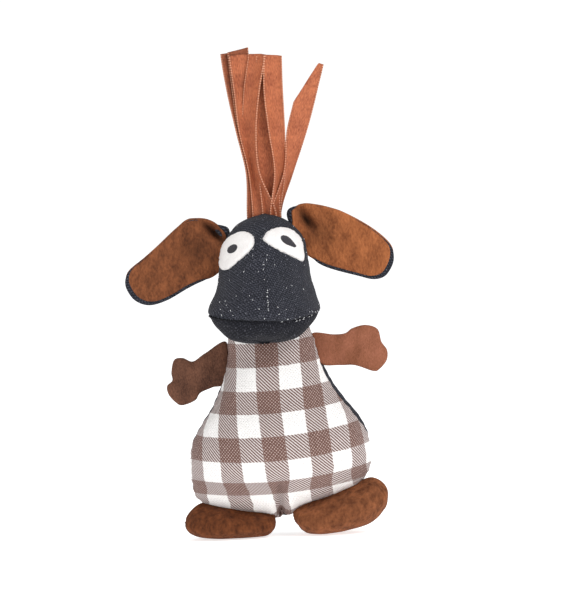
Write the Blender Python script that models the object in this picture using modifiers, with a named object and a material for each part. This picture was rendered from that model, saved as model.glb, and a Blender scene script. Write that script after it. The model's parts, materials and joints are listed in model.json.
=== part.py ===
"""Stuffed fabric animal toy with a ribbon tuft, modelled as separate sewn pieces.

Metres, +Z up, the face towards -Y. The toy stands on its two soles at z = 0. Left is -X.
Sizes below are in millimetres and are turned to metres by MM.
"""
import math

import bmesh
import bpy
import numpy as np
from mathutils import Matrix, Vector

MM = 0.001

# ---- driving sizes, in millimetres ----
CLOTH = 1.0              # wall of every panel
SUEDE = 1.2              # one layer of an arm
RIBBON_THICK = 0.5
GAP = 0.3                # clearance between pieces that touch on the real toy
FILL_GAP = 0.6           # clearance of a stuffing inside its panels
SEAM_GAP = 0.7           # clearance of a hinged piece from the seam it is sewn into
HEM_GAP = 1.1            # clearance of a foot under the body's bottom

HEM_HEIGHT = 9.3         # the body's lowest point above the floor
BODY_HEIGHT = 85.3
BELLY_WIDTH = 81.7
BELLY_DEPTH = 58.0
BELLY_FORWARD = 2.0      # how far the belly's middle is in front of the neck axis
BELLY_LEAN = 2.5         # how far the belly's middle is right of the neck axis
BELLY_SAG = 6.0          # how far the belly's sides ride above its front
HEM_TILT = 3.0           # how far the right end of the hem rides above its middle
NECK_WIDTH = 42.5
NECK_DEPTH = 32.3
BODY_SEAM_Y = -1.0

NECK_GAP = 3.8           # free height between the neck's top and the head's underside
STITCH_RADIUS = 5.0
STITCH_THREAD = 0.45

HEAD_WIDTH = 50.8
HEAD_DEPTH = 59.1
HEAD_HEIGHT = 58.3
HEAD_UNDERSIDE = 0.194   # share of the head's height that hangs as chin below the neck seat
HEAD_LEFT = 2.8          # how far the chin's middle is left of the neck axis
HEAD_LEAN = 2.0          # how far the crown is right of the chin
HEAD_SEAM_Y = 0.0
MOUTH_LEVEL = 0.205      # share of the head's height
MOUTH_SLOPE = 5.0        # degrees that the mouth seam rises towards the back

EAR_LENGTH = 42.8
EAR_WIDTH = 31.0
EAR_CUP = 4.0            # how far the ear's edges come forward of its middle
EAR_FORWARD = 3.0        # how far the tip comes forward
EAR_LEFT_LEVEL = 130.7   # middle of the root seam above the floor
EAR_RIGHT_LEVEL = 135.2

ARM_LEFT_LEVEL = 79.0
ARM_RIGHT_LEVEL = 83.7
ARM_LENGTH = 24.5        # left arm, from its seam to its outermost knuckle
ARM_RIGHT_LENGTH = 29.6

FOOT_HALF_DEPTH = 15.5
FOOT_BACK = 3.0          # how far the foot's middle is in front of the neck axis
FOOT_TAPER = 0.66        # how much the foot narrows towards the hem

RIBBON_WIDTH = 10.0
RIBBON_ABOVE = 3.2       # where the free ribbon begins, above the crown
RIBBON_LENGTH = 75.2     # of the longest ribbon, above the crown
PATCH_THICK = 0.8        # an eye's felt
PUPIL_THICK = 0.6

BOX_MIDDLE = (2.9, 5.7)  # neck axis, measured from the middle of the toy's box

# ---- shapes, as shares of the sizes above ----
# height, belly width, belly depth, neck, lean, tilt, sag
BODY_ROWS = (
    (0.000, 0.000, 0.000, 0.00, 1.0, 0.00, 0.00),
    (0.012, 0.405, 0.100, 0.00, 1.0, 0.60, 0.55),
    (0.043, 0.756, 0.276, 0.00, 0.9, 1.00, 0.70),
    (0.084, 0.929, 0.480, 0.00, 0.9, 1.00, 0.83),
    (0.131, 0.983, 0.707, 0.00, 1.0, 1.00, 1.00),
    (0.196, 1.000, 0.897, 0.00, 1.0, 0.75, 1.00),
    (0.290, 1.000, 1.000, 0.00, 1.0, 0.50, 0.75),
    (0.395, 0.936, 0.970, 0.06, 1.1, 0.33, 0.33),
    (0.489, 0.774, 0.800, 0.23, 1.2, 0.25, 0.00),
    (0.577, 0.510, 0.530, 0.49, 1.2, 0.17, 0.00),
    (0.665, 0.292, 0.310, 0.71, 1.0, 0.17, 0.00),
    (0.758, 0.118, 0.130, 0.88, 0.7, 0.17, 0.00),
    (0.841, 0.000, 0.000, 1.00, 0.4, 0.08, 0.00),
    (0.926, 0.000, 0.000, 0.92, 0.2, 0.00, 0.00),
    (0.979, 0.000, 0.000, 0.60, 0.1, 0.00, 0.00),
    (1.000, 0.000, 0.000, 0.00, 0.1, 0.00, 0.00),
)
# front y, front height, back y, back height, width, side height
HEAD_ROWS = (
    (-0.457, 0.000, -0.457, 0.000, 0.000, 0.000),
    (-0.575, 0.033, -0.338, 0.029, 0.551, 0.029),
    (-0.631, 0.110, -0.237, 0.111, 0.827, 0.115),
    (-0.653, 0.201, -0.178, 0.192, 0.965, 0.197),
    (-0.640, 0.298, 0.203, 0.194, 0.998, 0.256),
    (-0.584, 0.419, 0.313, 0.324, 0.890, 0.370),
    (-0.499, 0.547, 0.347, 0.461, 0.819, 0.496),
    (-0.423, 0.676, 0.347, 0.607, 0.787, 0.642),
    (-0.364, 0.796, 0.313, 0.753, 0.732, 0.767),
    (-0.279, 0.899, 0.254, 0.878, 0.575, 0.878),
    (-0.161, 0.971, 0.144, 0.962, 0.331, 0.957),
    (-0.008, 1.000, -0.008, 1.000, 0.000, 1.000),
)
# upper edge (out, up) and lower edge (out, up) from the middle of the root seam
EAR_LEFT_ROWS = (
    (-0.051, 0.274, 0.049, -0.274),
    (0.110, 0.397, 0.121, -0.416),
    (0.287, 0.452, 0.257, -0.506),
    (0.456, 0.284, 0.409, -0.603),
    (0.647, 0.068, 0.572, -0.729),
    (0.794, -0.103, 0.736, -0.784),
    (0.935, -0.235, 0.893, -0.703),
    (1.000, -0.384, 0.979, -0.545),
)
EAR_RIGHT_ROWS = (
    (-0.093, 0.347, 0.093, -0.347),
    (0.047, 0.439, 0.192, -0.448),
    (0.222, 0.397, 0.346, -0.545),
    (0.395, 0.326, 0.479, -0.600),
    (0.572, 0.197, 0.619, -0.652),
    (0.743, 0.042, 0.736, -0.684),
    (0.895, -0.139, 0.848, -0.661),
    (0.963, -0.326, 0.928, -0.494),
)
# outline of an arm (out, up) as shares of its length, from the middle of its seam
ARM_LEFT_OUTLINE = (
    (0.00, 0.34), (0.28, 0.19), (0.51, 0.05), (0.69, 0.12), (0.85, 0.09), (0.91, -0.13),
    (0.91, -0.29), (1.00, -0.38), (0.99, -0.53), (0.87, -0.68), (0.74, -0.74), (0.50, -0.66),
    (0.40, -0.53), (0.18, -0.44), (0.00, -0.34),
)
ARM_RIGHT_OUTLINE = (
    (0.00, 0.23), (0.36, 0.21), (0.47, 0.28), (0.67, 0.32), (0.85, 0.25), (0.90, 0.06),
    (1.00, -0.07), (0.99, -0.23), (0.86, -0.36), (0.76, -0.38), (0.49, -0.28), (0.26, -0.27),
    (0.00, -0.23),
)
# x, lowest point, depth share; the top follows the hem
FOOT_LEFT_ROWS = (
    (-41.3, 7.6, 0.00), (-39.2, 3.4, 0.40), (-35.0, 0.4, 0.68), (-28.5, -1.0, 0.90),
    (-21.0, -1.2, 1.00), (-13.5, -1.0, 0.96), (-7.3, 0.4, 0.78), (-3.2, 3.0, 0.48), (-1.3, 6.8, 0.00),
)
FOOT_RIGHT_ROWS = (
    (7.0, 8.6, 0.00), (9.2, 5.0, 0.40), (13.2, 0.6, 0.72), (19.5, -1.0, 0.95), (27.0, -1.2, 1.00),
    (35.0, -0.2, 0.92), (42.5, 4.0, 0.72), (47.6, 9.6, 0.44), (50.2, 15.6, 0.00),
)
# the feet's outer corners stand above the hem's end: height of the top at the first and last station
FOOT_LEFT_CREST = ((-41.3, 8.0), (-39.2, 11.2), (-35.0, 15.2))
FOOT_RIGHT_CREST = ((42.5, 23.6), (47.6, 21.6), (50.2, 16.0))
# base x, top x, top height share, bow to the right, depth layer
RIBBONS = (
    (-2.8, -11.2, 0.975, -0.6, 2),
    (-1.5, -4.6, 1.000, -1.0, 1),
    (-1.4, -9.4, 0.965, -1.0, 0),
    (0.8, -1.6, 0.950, -1.0, -1),
    (2.4, 3.6, 0.940, -0.6, -2),
    (3.4, 6.4, 0.925, -0.4, -3),
)
STRAND = (4.0, 24.6, 0.880, -2.2, 3)
# eye outlines (right, up) in millimetres from the eye's middle
EYE_LEFT_OUTLINE = (
    (4.2, 7.8), (7.4, 5.9), (7.8, 2.9), (6.4, 0.3), (3.5, -2.5), (0.4, -4.9), (-3.4, -7.6),
    (-5.6, -7.4), (-6.8, -5.2), (-6.4, -1.0), (-4.2, 3.6), (-0.8, 6.4),
)
EYE_RIGHT_OUTLINE = (
    (-8.2, 3.6), (-6.7, 5.6), (-2.2, 7.2), (2.2, 6.8), (5.2, 5.0), (7.2, 2.0), (7.9, -1.6),
    (7.4, -6.6), (4.6, -6.2), (0.2, -3.9), (-3.4, -1.9), (-6.9, 0.6),
)
EYE_LEFT = (0.678, -38.5)     # share of the way up the head's rows, degrees from straight ahead
EYE_RIGHT = (0.702, 28.5)
PUPIL_SIZE = (3.2, 1.9)      # half length and half width
PUPIL_LEFT_TILT = 38.0
PUPIL_RIGHT_TILT = -40.0

SEGMENTS = 24
FOOT_SEGMENTS = 18
FOOT_BANDS = 12
MOST_SHELL = 2.0


# ---- scene and materials ----
def clear_scene():
    """Remove every object and mesh of the open file."""
    for obj in list(bpy.data.objects):
        bpy.data.objects.remove(obj, do_unlink=True)


def new_collection(name):
    """A collection under the scene's own."""
    group = bpy.data.collections.new(name)
    bpy.context.scene.collection.children.link(group)
    return group


def fabric(name, colour, roughness):
    """A Principled material from an sRGB hex colour."""
    mat = bpy.data.materials.new(name)
    mat.use_nodes = True
    srgb = [int(colour[i:i + 2], 16) / 255.0 for i in (0, 2, 4)]
    linear = [c / 12.92 if c <= 0.04045 else ((c + 0.055) / 1.055) ** 2.4 for c in srgb]
    shader = mat.node_tree.nodes["Principled BSDF"]
    shader.inputs["Base Color"].default_value = (*linear, 1.0)
    shader.inputs["Roughness"].default_value = roughness
    shader.inputs["Metallic"].default_value = 0.0
    mat.diffuse_color = (*linear, 1.0)
    return mat


# ---- soft forms: rings on a table of rows ----
def between_rows(rows, t):
    """Catmull-Rom curve through evenly spaced rows at shares t of the way."""
    last = len(rows) - 1
    s = np.clip(np.asarray(t, float), 0.0, 1.0) * last
    i = np.minimum(s.astype(int), last - 1)
    f = (s - i)[..., None]
    before, here = rows[np.maximum(i - 1, 0)], rows[i]
    ahead, beyond = rows[i + 1], rows[np.minimum(i + 2, last)]
    return here + 0.5 * f * (
        ahead - before
        + f * (2 * before - 5 * here + 4 * ahead - beyond + f * (3 * (here - ahead) + beyond - before))
    )


class Form:
    """A closed soft form: ring i has a middle, half sizes, tilts and a sideways sag."""

    def __init__(self, rows):
        self.rows = np.array(rows, float)

    def point(self, angle, t):
        """x across, y deep, z up; the ring's angle runs from +X towards +Y."""
        x, wide, y, deep, z, roll, pitch, sag = np.moveaxis(between_rows(self.rows, t), -1, 0)
        c, s = np.cos(angle), np.sin(angle)
        return np.stack(
            [x + wide * c, y + deep * s, z + roll * c + pitch * s + sag * c * c], axis=-1
        )

    def normal(self, angle, t):
        """Outward unit normal by differences along the ring and up the rows."""
        step = 1e-3
        across = self.point(angle + step, t) - self.point(angle - step, t)
        upward = self.point(angle, t + step) - self.point(angle, t - step)
        n = np.cross(across, upward)
        return n / np.linalg.norm(n, axis=-1, keepdims=True)

    def edge(self, side, z):
        """How far out the side edge is at a height: side is -1 for left, 1 for right."""
        line = self.point(np.full(200, 0.0 if side > 0 else math.pi), np.linspace(0.02, 0.98, 200))
        order = np.argsort(line[:, 2])
        return float(np.interp(z, line[order, 2], line[order, 0]))


def body_form():
    """The belly narrowing to the neck."""
    rows = []
    for height, wide, deep, neck, lean, tilt, sag in BODY_ROWS:
        rows.append((
            BELLY_LEAN * lean,
            (BELLY_WIDTH * wide + NECK_WIDTH * neck) / 2,
            -BELLY_FORWARD * deep,
            (BELLY_DEPTH * deep + NECK_DEPTH * neck) / 2,
            HEM_HEIGHT + BODY_HEIGHT * height,
            HEM_TILT * tilt,
            0.0,
            BELLY_SAG * sag,
        ))
    return Form(rows)


def neck_top():
    """Height of the body's top."""
    return HEM_HEIGHT + BODY_HEIGHT


def head_base():
    """Height of the chin's lowest point: the head's underside sits NECK_GAP above the neck."""
    return neck_top() + NECK_GAP - HEAD_UNDERSIDE * HEAD_HEIGHT


def head_form():
    """The head, with its muzzle forward and its underside over the neck."""
    rows = []
    for front, front_z, back, back_z, wide, side_z in HEAD_ROWS:
        level = (front_z + back_z) / 2
        rows.append((
            HEAD_LEAN * level - HEAD_LEFT,
            HEAD_WIDTH * wide / 2,
            HEAD_DEPTH * (front + back) / 2,
            HEAD_DEPTH * (back - front) / 2,
            head_base() + HEAD_HEIGHT * level,
            0.0,
            HEAD_HEIGHT * (back_z - front_z) / 2,
            HEAD_HEIGHT * (side_z - level),
        ))
    return Form(rows)


# ---- builders ----
class Bench:
    """Where the pieces, their parents and the cutters go."""

    def __init__(self):
        self.parts = new_collection("stuffed_fabric_animal")
        self.cutters = new_collection("cutters")
        self.neck = self.pivot("neck_axis", None, (BOX_MIDDLE[0], BOX_MIDDLE[1], 0.0))

    def pivot(self, name, parent, place):
        """An empty; place is in millimetres from the neck axis on the floor."""
        empty = bpy.data.objects.new(name, None)
        empty.empty_display_size = 5 * MM
        self.parts.objects.link(empty)
        empty.parent = parent
        origin = getattr(self, "places", {}).get(parent, Vector((0, 0, 0)))
        empty.location = (Vector(place) - origin) * MM
        if not hasattr(self, "places"):
            self.places = {}
        self.places[empty] = Vector(place) if parent else Vector((0, 0, 0))
        return empty

    def put(self, name, bm, mat, parent):
        """Make a piece from a bmesh in millimetres about the neck axis, under its pivot."""
        origin = self.places[parent]
        bmesh.ops.transform(bm, matrix=Matrix.Translation(-origin), verts=bm.verts)
        bmesh.ops.scale(bm, vec=(MM, MM, MM), verts=bm.verts)
        mesh = bpy.data.meshes.new(name)
        bm.to_mesh(mesh)
        bm.free()
        mesh.shade_smooth()
        obj = bpy.data.objects.new(name, mesh)
        group = self.parts if mat else self.cutters
        group.objects.link(obj)
        obj.parent = parent
        if mat:
            mesh.materials.append(mat)
        else:
            obj.hide_render = True
            obj.display_type = "WIRE"
        return obj


def boolean(obj, cutter, operation):
    """Keep or remove what the cutter covers."""
    mod = obj.modifiers.new(operation.lower(), "BOOLEAN")
    mod.operation = operation
    mod.solver = "EXACT"
    mod.object = cutter


def form_mesh(form, inset, bands):
    """A sphere whose vertices are carried to the form's surface, then moved in by the inset."""
    bm = bmesh.new()
    bmesh.ops.create_uvsphere(bm, u_segments=SEGMENTS, v_segments=bands, radius=1.0)
    co = np.array([v.co for v in bm.verts])
    t = 1.0 - np.arccos(np.clip(co[:, 2], -1.0, 1.0)) / math.pi
    place = form.point(np.arctan2(co[:, 1], co[:, 0]), t)
    for vert, p in zip(bm.verts, place):
        vert.co = p
    move_in(bm, inset)
    return bm


def move_in(bm, inset):
    """Move a closed surface inward by an even wall, its sharp edges further by their shell factor."""
    bm.normal_update()
    moved = [v.co - v.normal * inset * min(v.calc_shell_factor(), MOST_SHELL) for v in bm.verts]
    for vert, p in zip(bm.verts, moved):
        vert.co = p


def face_outward(bm):
    """Turn a closed mesh's faces outward."""
    bmesh.ops.recalc_face_normals(bm, faces=bm.faces)
    if bm.calc_volume(signed=True) < 0:
        bmesh.ops.reverse_faces(bm, faces=bm.faces)
    bm.normal_update()


def box_cutter(bench, name, low, high, parent, turn=0.0, about=(0.0, 0.0, 0.0)):
    """A box from its corners, turned about the X direction through a point."""
    bm = bmesh.new()
    bmesh.ops.create_cube(bm, size=1.0)
    low, high = Vector(low), Vector(high)
    bmesh.ops.scale(bm, vec=high - low, verts=bm.verts)
    bmesh.ops.translate(bm, vec=(low + high) / 2, verts=bm.verts)
    bmesh.ops.rotate(bm, cent=about, matrix=Matrix.Rotation(math.radians(turn), 3, "X"), verts=bm.verts)
    return bench.put(name, bm, None, parent)


def smooth_outline(points, count):
    """A closed Catmull-Rom outline through points."""
    ring = np.array(points + points[:1], float)
    wrap = np.vstack([ring[-2], ring, ring[1]])
    s = np.linspace(0.0, len(points), count, endpoint=False)
    i = s.astype(int)
    f = (s - i)[:, None]
    before, here, ahead, beyond = wrap[i], wrap[i + 1], wrap[i + 2], wrap[i + 3]
    return here + 0.5 * f * (
        ahead - before
        + f * (2 * before - 5 * here + 4 * ahead - beyond + f * (3 * (here - ahead) + beyond - before))
    )


def sheet(bench, name, place, across, along, thick, shift, mat, parent):
    """A grid carried to place(u, v), moved along its normal by shift, with a wall of its own."""
    bm = bmesh.new()
    bmesh.ops.create_grid(bm, x_segments=along, y_segments=across, size=0.5)
    co = np.array([v.co for v in bm.verts])
    for vert, p in zip(bm.verts, place(co[:, 0] + 0.5, 2 * co[:, 1])):
        vert.co = p
    bmesh.ops.recalc_face_normals(bm, faces=bm.faces)
    bm.normal_update()
    if sum(v.normal.y for v in bm.verts) > 0:
        bmesh.ops.reverse_faces(bm, faces=bm.faces)
        bm.normal_update()
    moved = [v.co + v.normal * shift for v in bm.verts]
    for vert, p in zip(bm.verts, moved):
        vert.co = p
    obj = bench.put(name, bm, mat, parent)
    wall = obj.modifiers.new("wall", "SOLIDIFY")
    wall.thickness = thick * MM
    wall.offset = 0.0
    wall.use_even_offset = False
    return obj


# ---- body ----
def make_body(bench, form, gingham, denim, fibre):
    """Front and back panels that meet at the side seam, around the stuffing."""
    far = 2 * (BELLY_WIDTH + BODY_HEIGHT)
    bands = len(BODY_ROWS) - 1
    hollow = bench.put("body_hollow", form_mesh(form, CLOTH, bands), None, bench.neck)
    halves = (
        ("body_front_panel", gingham, -far, BODY_SEAM_Y - GAP / 2),
        ("body_back_panel", denim, BODY_SEAM_Y + GAP / 2, far),
    )
    for name, mat, low, high in halves:
        panel = bench.put(name, form_mesh(form, 0.0, bands), mat, bench.neck)
        side = box_cutter(bench, name + "_side", (-far, low, -far), (far, high, far), bench.neck)
        boolean(panel, hollow, "DIFFERENCE")
        boolean(panel, side, "INTERSECT")
    bench.put("body_stuffing", form_mesh(form, CLOTH + FILL_GAP, bands), fibre, bench.neck)


# ---- neck and head ----
def make_neck_stitching(bench, parent, thread):
    """A ring of thread around the neck's top, between body and head."""
    height = neck_top() + GAP + STITCH_THREAD
    curve = bpy.data.curves.new("neck_stitching", "CURVE")
    curve.dimensions = "3D"
    curve.bevel_depth = STITCH_THREAD * MM
    curve.bevel_resolution = 2
    turns = 24
    loop = curve.splines.new("POLY")
    loop.points.add(turns - 1)
    for i in range(turns):
        angle = 2 * math.pi * i / turns
        spot = Vector((STITCH_RADIUS * math.cos(angle), STITCH_RADIUS * math.sin(angle), height))
        loop.points[i].co = (*((spot - bench.places[parent]) * MM), 1.0)
    loop.use_cyclic_u = True
    obj = bpy.data.objects.new("neck_stitching", curve)
    bench.parts.objects.link(obj)
    obj.parent = parent
    curve.materials.append(thread)


def make_head(bench, form, parent, denim, fibre):
    """Face, chin and back panels around the stuffing; the mouth seam divides face from chin."""
    far = 2 * (HEAD_WIDTH + HEAD_HEIGHT + neck_top())
    bands = 2 * (len(HEAD_ROWS) - 1)
    mouth = (0.0, -HEAD_DEPTH * 0.65, head_base() + MOUTH_LEVEL * HEAD_HEIGHT)
    hollow = bench.put("head_hollow", form_mesh(form, CLOTH, bands), None, parent)
    below = box_cutter(bench, "below_mouth", (-far, -far, -far), (far, far, mouth[2] - GAP / 2),
                       parent, MOUTH_SLOPE, mouth)
    above = box_cutter(bench, "above_mouth", (-far, -far, mouth[2] + GAP / 2), (far, far, far),
                       parent, MOUTH_SLOPE, mouth)
    front = box_cutter(bench, "head_front", (-far, -far, -far), (far, HEAD_SEAM_Y - GAP / 2, far), parent)
    rear = box_cutter(bench, "head_rear", (-far, HEAD_SEAM_Y + GAP / 2, -far), (far, far, far), parent)
    panels = (
        ("chin_panel", (below,)),
        ("face_panel", (above, front)),
        ("head_back_panel", (above, rear)),
    )
    for name, keeps in panels:
        panel = bench.put(name, form_mesh(form, 0.0, bands), denim, parent)
        boolean(panel, hollow, "DIFFERENCE")
        for keep in keeps:
            boolean(panel, keep, "INTERSECT")
    bench.put("head_stuffing", form_mesh(form, CLOTH + FILL_GAP, bands), fibre, parent)


def patch(bench, name, form, spot, outline, thick, lift, mat, parent):
    """A thin lens on the form: a flattened sphere whose rim follows the outline."""
    t0, degrees = spot
    angle0 = math.radians(degrees - 90.0)
    step = 1e-3
    middle = form.point(np.array(angle0), np.array(t0))
    per_angle = (form.point(np.array(angle0 + step), np.array(t0)) - middle)[0] / step
    per_t = (form.point(np.array(angle0), np.array(t0 + step)) - middle)[2] / step
    bm = bmesh.new()
    bmesh.ops.create_uvsphere(bm, u_segments=SEGMENTS, v_segments=6, radius=1.0)
    co = np.array([v.co for v in bm.verts])
    around = (np.arctan2(co[:, 1], co[:, 0]) / (2 * math.pi)) % 1.0
    rim = smooth_outline(outline, 240)[(around * 240).astype(int) % 240]
    reach = np.hypot(co[:, 0], co[:, 1])[:, None] * rim
    angle, t = angle0 + reach[:, 0] / per_angle, t0 + reach[:, 1] / per_t
    height = (lift + thick / 2) + co[:, 2:3] * thick / 2
    place = form.point(angle, t) + form.normal(angle, t) * height
    for vert, p in zip(bm.verts, place):
        vert.co = p
    face_outward(bm)
    return bench.put(name, bm, mat, parent)


def ellipse(size, tilt, count=12):
    """Points of a tilted ellipse, anticlockwise."""
    turn = math.radians(tilt)
    points = []
    for i in range(count):
        a = 2 * math.pi * i / count
        x, y = size[0] * math.cos(a), size[1] * math.sin(a)
        points.append((x * math.cos(turn) - y * math.sin(turn), x * math.sin(turn) + y * math.cos(turn)))
    return tuple(points)


def make_eyes(bench, form, parent, felt, thread):
    """A felt patch and a stitched pupil for each eye."""
    eyes = (
        ("left", EYE_LEFT, EYE_LEFT_OUTLINE, PUPIL_LEFT_TILT),
        ("right", EYE_RIGHT, EYE_RIGHT_OUTLINE, PUPIL_RIGHT_TILT),
    )
    for side, spot, outline, tilt in eyes:
        patch(bench, f"eye_{side}_white", form, spot, outline, PATCH_THICK, GAP, felt, parent)
        patch(bench, f"eye_{side}_pupil", form, spot, ellipse(PUPIL_SIZE, tilt),
              PUPIL_THICK, 2 * GAP + PATCH_THICK, thread, parent)


# ---- ears ----
def ear_surface(rows, side, root):
    """Point function of an ear: u from root to tip, v from lower edge to upper edge."""
    table = np.array(rows, float)

    def place(u, v):
        row = between_rows(table, u)
        upper = np.stack([row[:, 0] * EAR_LENGTH, row[:, 1] * EAR_WIDTH], axis=1)
        lower = np.stack([row[:, 2] * EAR_LENGTH, row[:, 3] * EAR_WIDTH], axis=1)
        share = (v[:, None] + 1) / 2
        flat = lower + (upper - lower) * share
        open_out = np.clip(u / 0.3, 0.0, 1.0) * (1.0 - u ** 4)
        forward = EAR_CUP * v * v * open_out + EAR_FORWARD * u * u
        return np.stack([root[0] + side * flat[:, 0], root[1] - forward, root[2] + flat[:, 1]], axis=1)

    return place


def ear_root(form, rows, side, level):
    """Middle of the root seam: just clear of the head along the whole seam."""
    low, high = rows[0][3] * EAR_WIDTH, rows[0][1] * EAR_WIDTH
    out_low, out_high = rows[0][2] * EAR_LENGTH, rows[0][0] * EAR_LENGTH
    clear = []
    for share in np.linspace(0.0, 1.0, 9):
        edge = side * form.edge(side, level + low + share * (high - low))
        clear.append(edge - (out_low + share * (out_high - out_low)))
    return (side * (max(clear) + SEAM_GAP), HEAD_SEAM_Y, level)


def make_ear(bench, form, name, rows, side, level, parent, velour, denim):
    """Lining in front and denim behind, on a pivot at the root seam."""
    root = ear_root(form, rows, side, level)
    hinge = bench.pivot(f"ear_{name}_hinge", parent, root)
    place = ear_surface(rows, side, root)
    shift = (CLOTH + GAP) / 2
    sheet(bench, f"ear_{name}_lining", place, 8, 12, CLOTH, shift, velour, hinge)
    sheet(bench, f"ear_{name}_back", place, 8, 12, CLOTH, -shift, denim, hinge)


# ---- arms ----
def make_arm(bench, form, name, outline, length, side, level, suede):
    """Two flat layers cut to the same outline, on a pivot at the side seam, which leans with the body."""
    top, bottom = outline[0][1] * length, outline[-1][1] * length
    lean = (form.edge(side, level) - form.edge(side, level + bottom)) / -bottom
    stations = np.linspace(bottom, top, 9)
    edge = max(side * (form.edge(side, level + up) - lean * up) for up in stations)
    hinge = bench.pivot(f"arm_{name}_hinge", bench.neck, (side * (edge + SEAM_GAP), BODY_SEAM_Y, level))
    for layer, depth in (("front", -1), ("back", 1)):
        curve = bpy.data.curves.new(f"arm_{name}_{layer}", "CURVE")
        curve.dimensions = "2D"
        curve.fill_mode = "BOTH"
        curve.extrude = SUEDE * MM / 2
        curve.resolution_u = 3
        spline = curve.splines.new("BEZIER")
        spline.bezier_points.add(len(outline) - 1)
        for knot, (out, up) in zip(spline.bezier_points, outline):
            knot.co = ((side * out + lean * up * (1.0 - out)) * length * MM, up * length * MM, 0.0)
            knot.handle_left_type = knot.handle_right_type = "AUTO"
        for knot in (spline.bezier_points[0], spline.bezier_points[-1]):
            knot.handle_left_type = knot.handle_right_type = "VECTOR"
        spline.use_cyclic_u = True
        arm = bpy.data.objects.new(curve.name, curve)
        bench.parts.objects.link(arm)
        arm.parent = hinge
        arm.rotation_euler = (math.radians(90), 0.0, 0.0)
        arm.location = (0.0, depth * (SUEDE + GAP) / 2 * MM, 0.0)
        curve.materials.append(suede)


# ---- feet ----
def hem_height(form, side, x):
    """Height of the body's bottom outline above a place on the floor."""
    line = form.point(np.full(120, 0.0 if side > 0 else math.pi), np.linspace(0.0, 0.3, 120))
    order = np.argsort(line[:, 0])
    return np.interp(x, line[order, 0], line[order, 2])


def foot_mesh(form, rows, crest, side, inset):
    """A teardrop pad: along x from end to end, wide at the sole and narrow at the hem."""
    table = []
    for x, low, depth in rows:
        top = hem_height(form, side, x) - HEM_GAP
        for crest_x, crest_z in crest:
            if x == crest_x:
                top = min(top, crest_z)
        if depth == 0.0:
            top = low
        table.append((x, low, float(top), depth * FOOT_HALF_DEPTH))
    table = np.array(table)
    bm = bmesh.new()
    bmesh.ops.create_uvsphere(bm, u_segments=FOOT_SEGMENTS, v_segments=FOOT_BANDS, radius=1.0)
    co = np.array([v.co for v in bm.verts])
    t = 1.0 - np.arccos(np.clip(co[:, 2], -1.0, 1.0)) / math.pi
    around = np.arctan2(co[:, 1], co[:, 0])
    x, low, top, deep = between_rows(table, t).T
    c, s = np.cos(around), np.sin(around)
    waist = low + 0.32 * (top - low)
    z = waist + np.where(s > 0, (top - waist) * s, (waist - low) * s)
    y = -FOOT_BACK + deep * c * (1.0 - FOOT_TAPER * np.maximum(s, 0.0))
    for vert, p in zip(bm.verts, np.stack([x, y, z], axis=1)):
        vert.co = p
    face_outward(bm)
    move_in(bm, inset)
    return bm


def make_foot(bench, form, name, rows, crest, side, velour, fibre):
    """Upper, flat sole and stuffing, on a pivot at the hem."""
    middle = (rows[0][0] + rows[-1][0]) / 2
    hinge = bench.pivot(f"foot_{name}_hinge", bench.neck,
                        (middle, -FOOT_BACK, float(hem_height(form, side, middle)) - HEM_GAP / 2))
    far = BELLY_WIDTH + BODY_HEIGHT

    def slab(label, low, high):
        return box_cutter(bench, f"foot_{name}_{label}", (-far, -far, low), (far, far, high), hinge)

    sole = bench.put(f"foot_{name}_sole", foot_mesh(form, rows, crest, side, 0.0), velour, hinge)
    boolean(sole, slab("sole_slab", 0.0, CLOTH), "INTERSECT")
    upper = bench.put(f"foot_{name}_upper", foot_mesh(form, rows, crest, side, 0.0), velour, hinge)
    hollow = bench.put(f"foot_{name}_hollow", foot_mesh(form, rows, crest, side, CLOTH), None, hinge)
    above = slab("above_sole", CLOTH + GAP, far)
    boolean(upper, hollow, "DIFFERENCE")
    boolean(upper, above, "INTERSECT")
    filling = bench.put(f"foot_{name}_stuffing", foot_mesh(form, rows, crest, side, CLOTH + FILL_GAP),
                        fibre, hinge)
    boolean(filling, above, "INTERSECT")


# ---- ribbons ----
def make_ribbon(bench, name, row, parent, satin):
    """A strip from the crown to its top, in its own depth layer."""
    base_x, top_x, top_share, bow, layer = row
    crown = head_base() + HEAD_HEIGHT
    depth = layer * (RIBBON_THICK + GAP)

    def place(u, v):
        lean = (top_x - base_x) * u + bow * 4 * u * (1 - u)
        x = base_x + lean + v * RIBBON_WIDTH / 2
        z = crown + RIBBON_ABOVE + (RIBBON_LENGTH * top_share - RIBBON_ABOVE) * u
        y = np.full_like(u, depth) * (1.0 + 0.5 * u)
        return np.stack([x, y, z], axis=1)

    sheet(bench, name, place, 2, 8, RIBBON_THICK, 0.0, satin, parent)


def make_tuft(bench, parent, satin):
    """Six ribbons on the crown pivot, and the splayed strand on a pivot of its own."""
    crown = (0.0, 0.0, head_base() + HEAD_HEIGHT + GAP)
    tuft = bench.pivot("tuft_hinge", parent, crown)
    for number, row in enumerate(RIBBONS, start=1):
        make_ribbon(bench, f"ribbon_{number}", row, tuft, satin)
    splay = bench.pivot("strand_hinge", tuft, (STRAND[0], 0.0, crown[2]))
    make_ribbon(bench, "ribbon_strand", STRAND, splay, satin)


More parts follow.
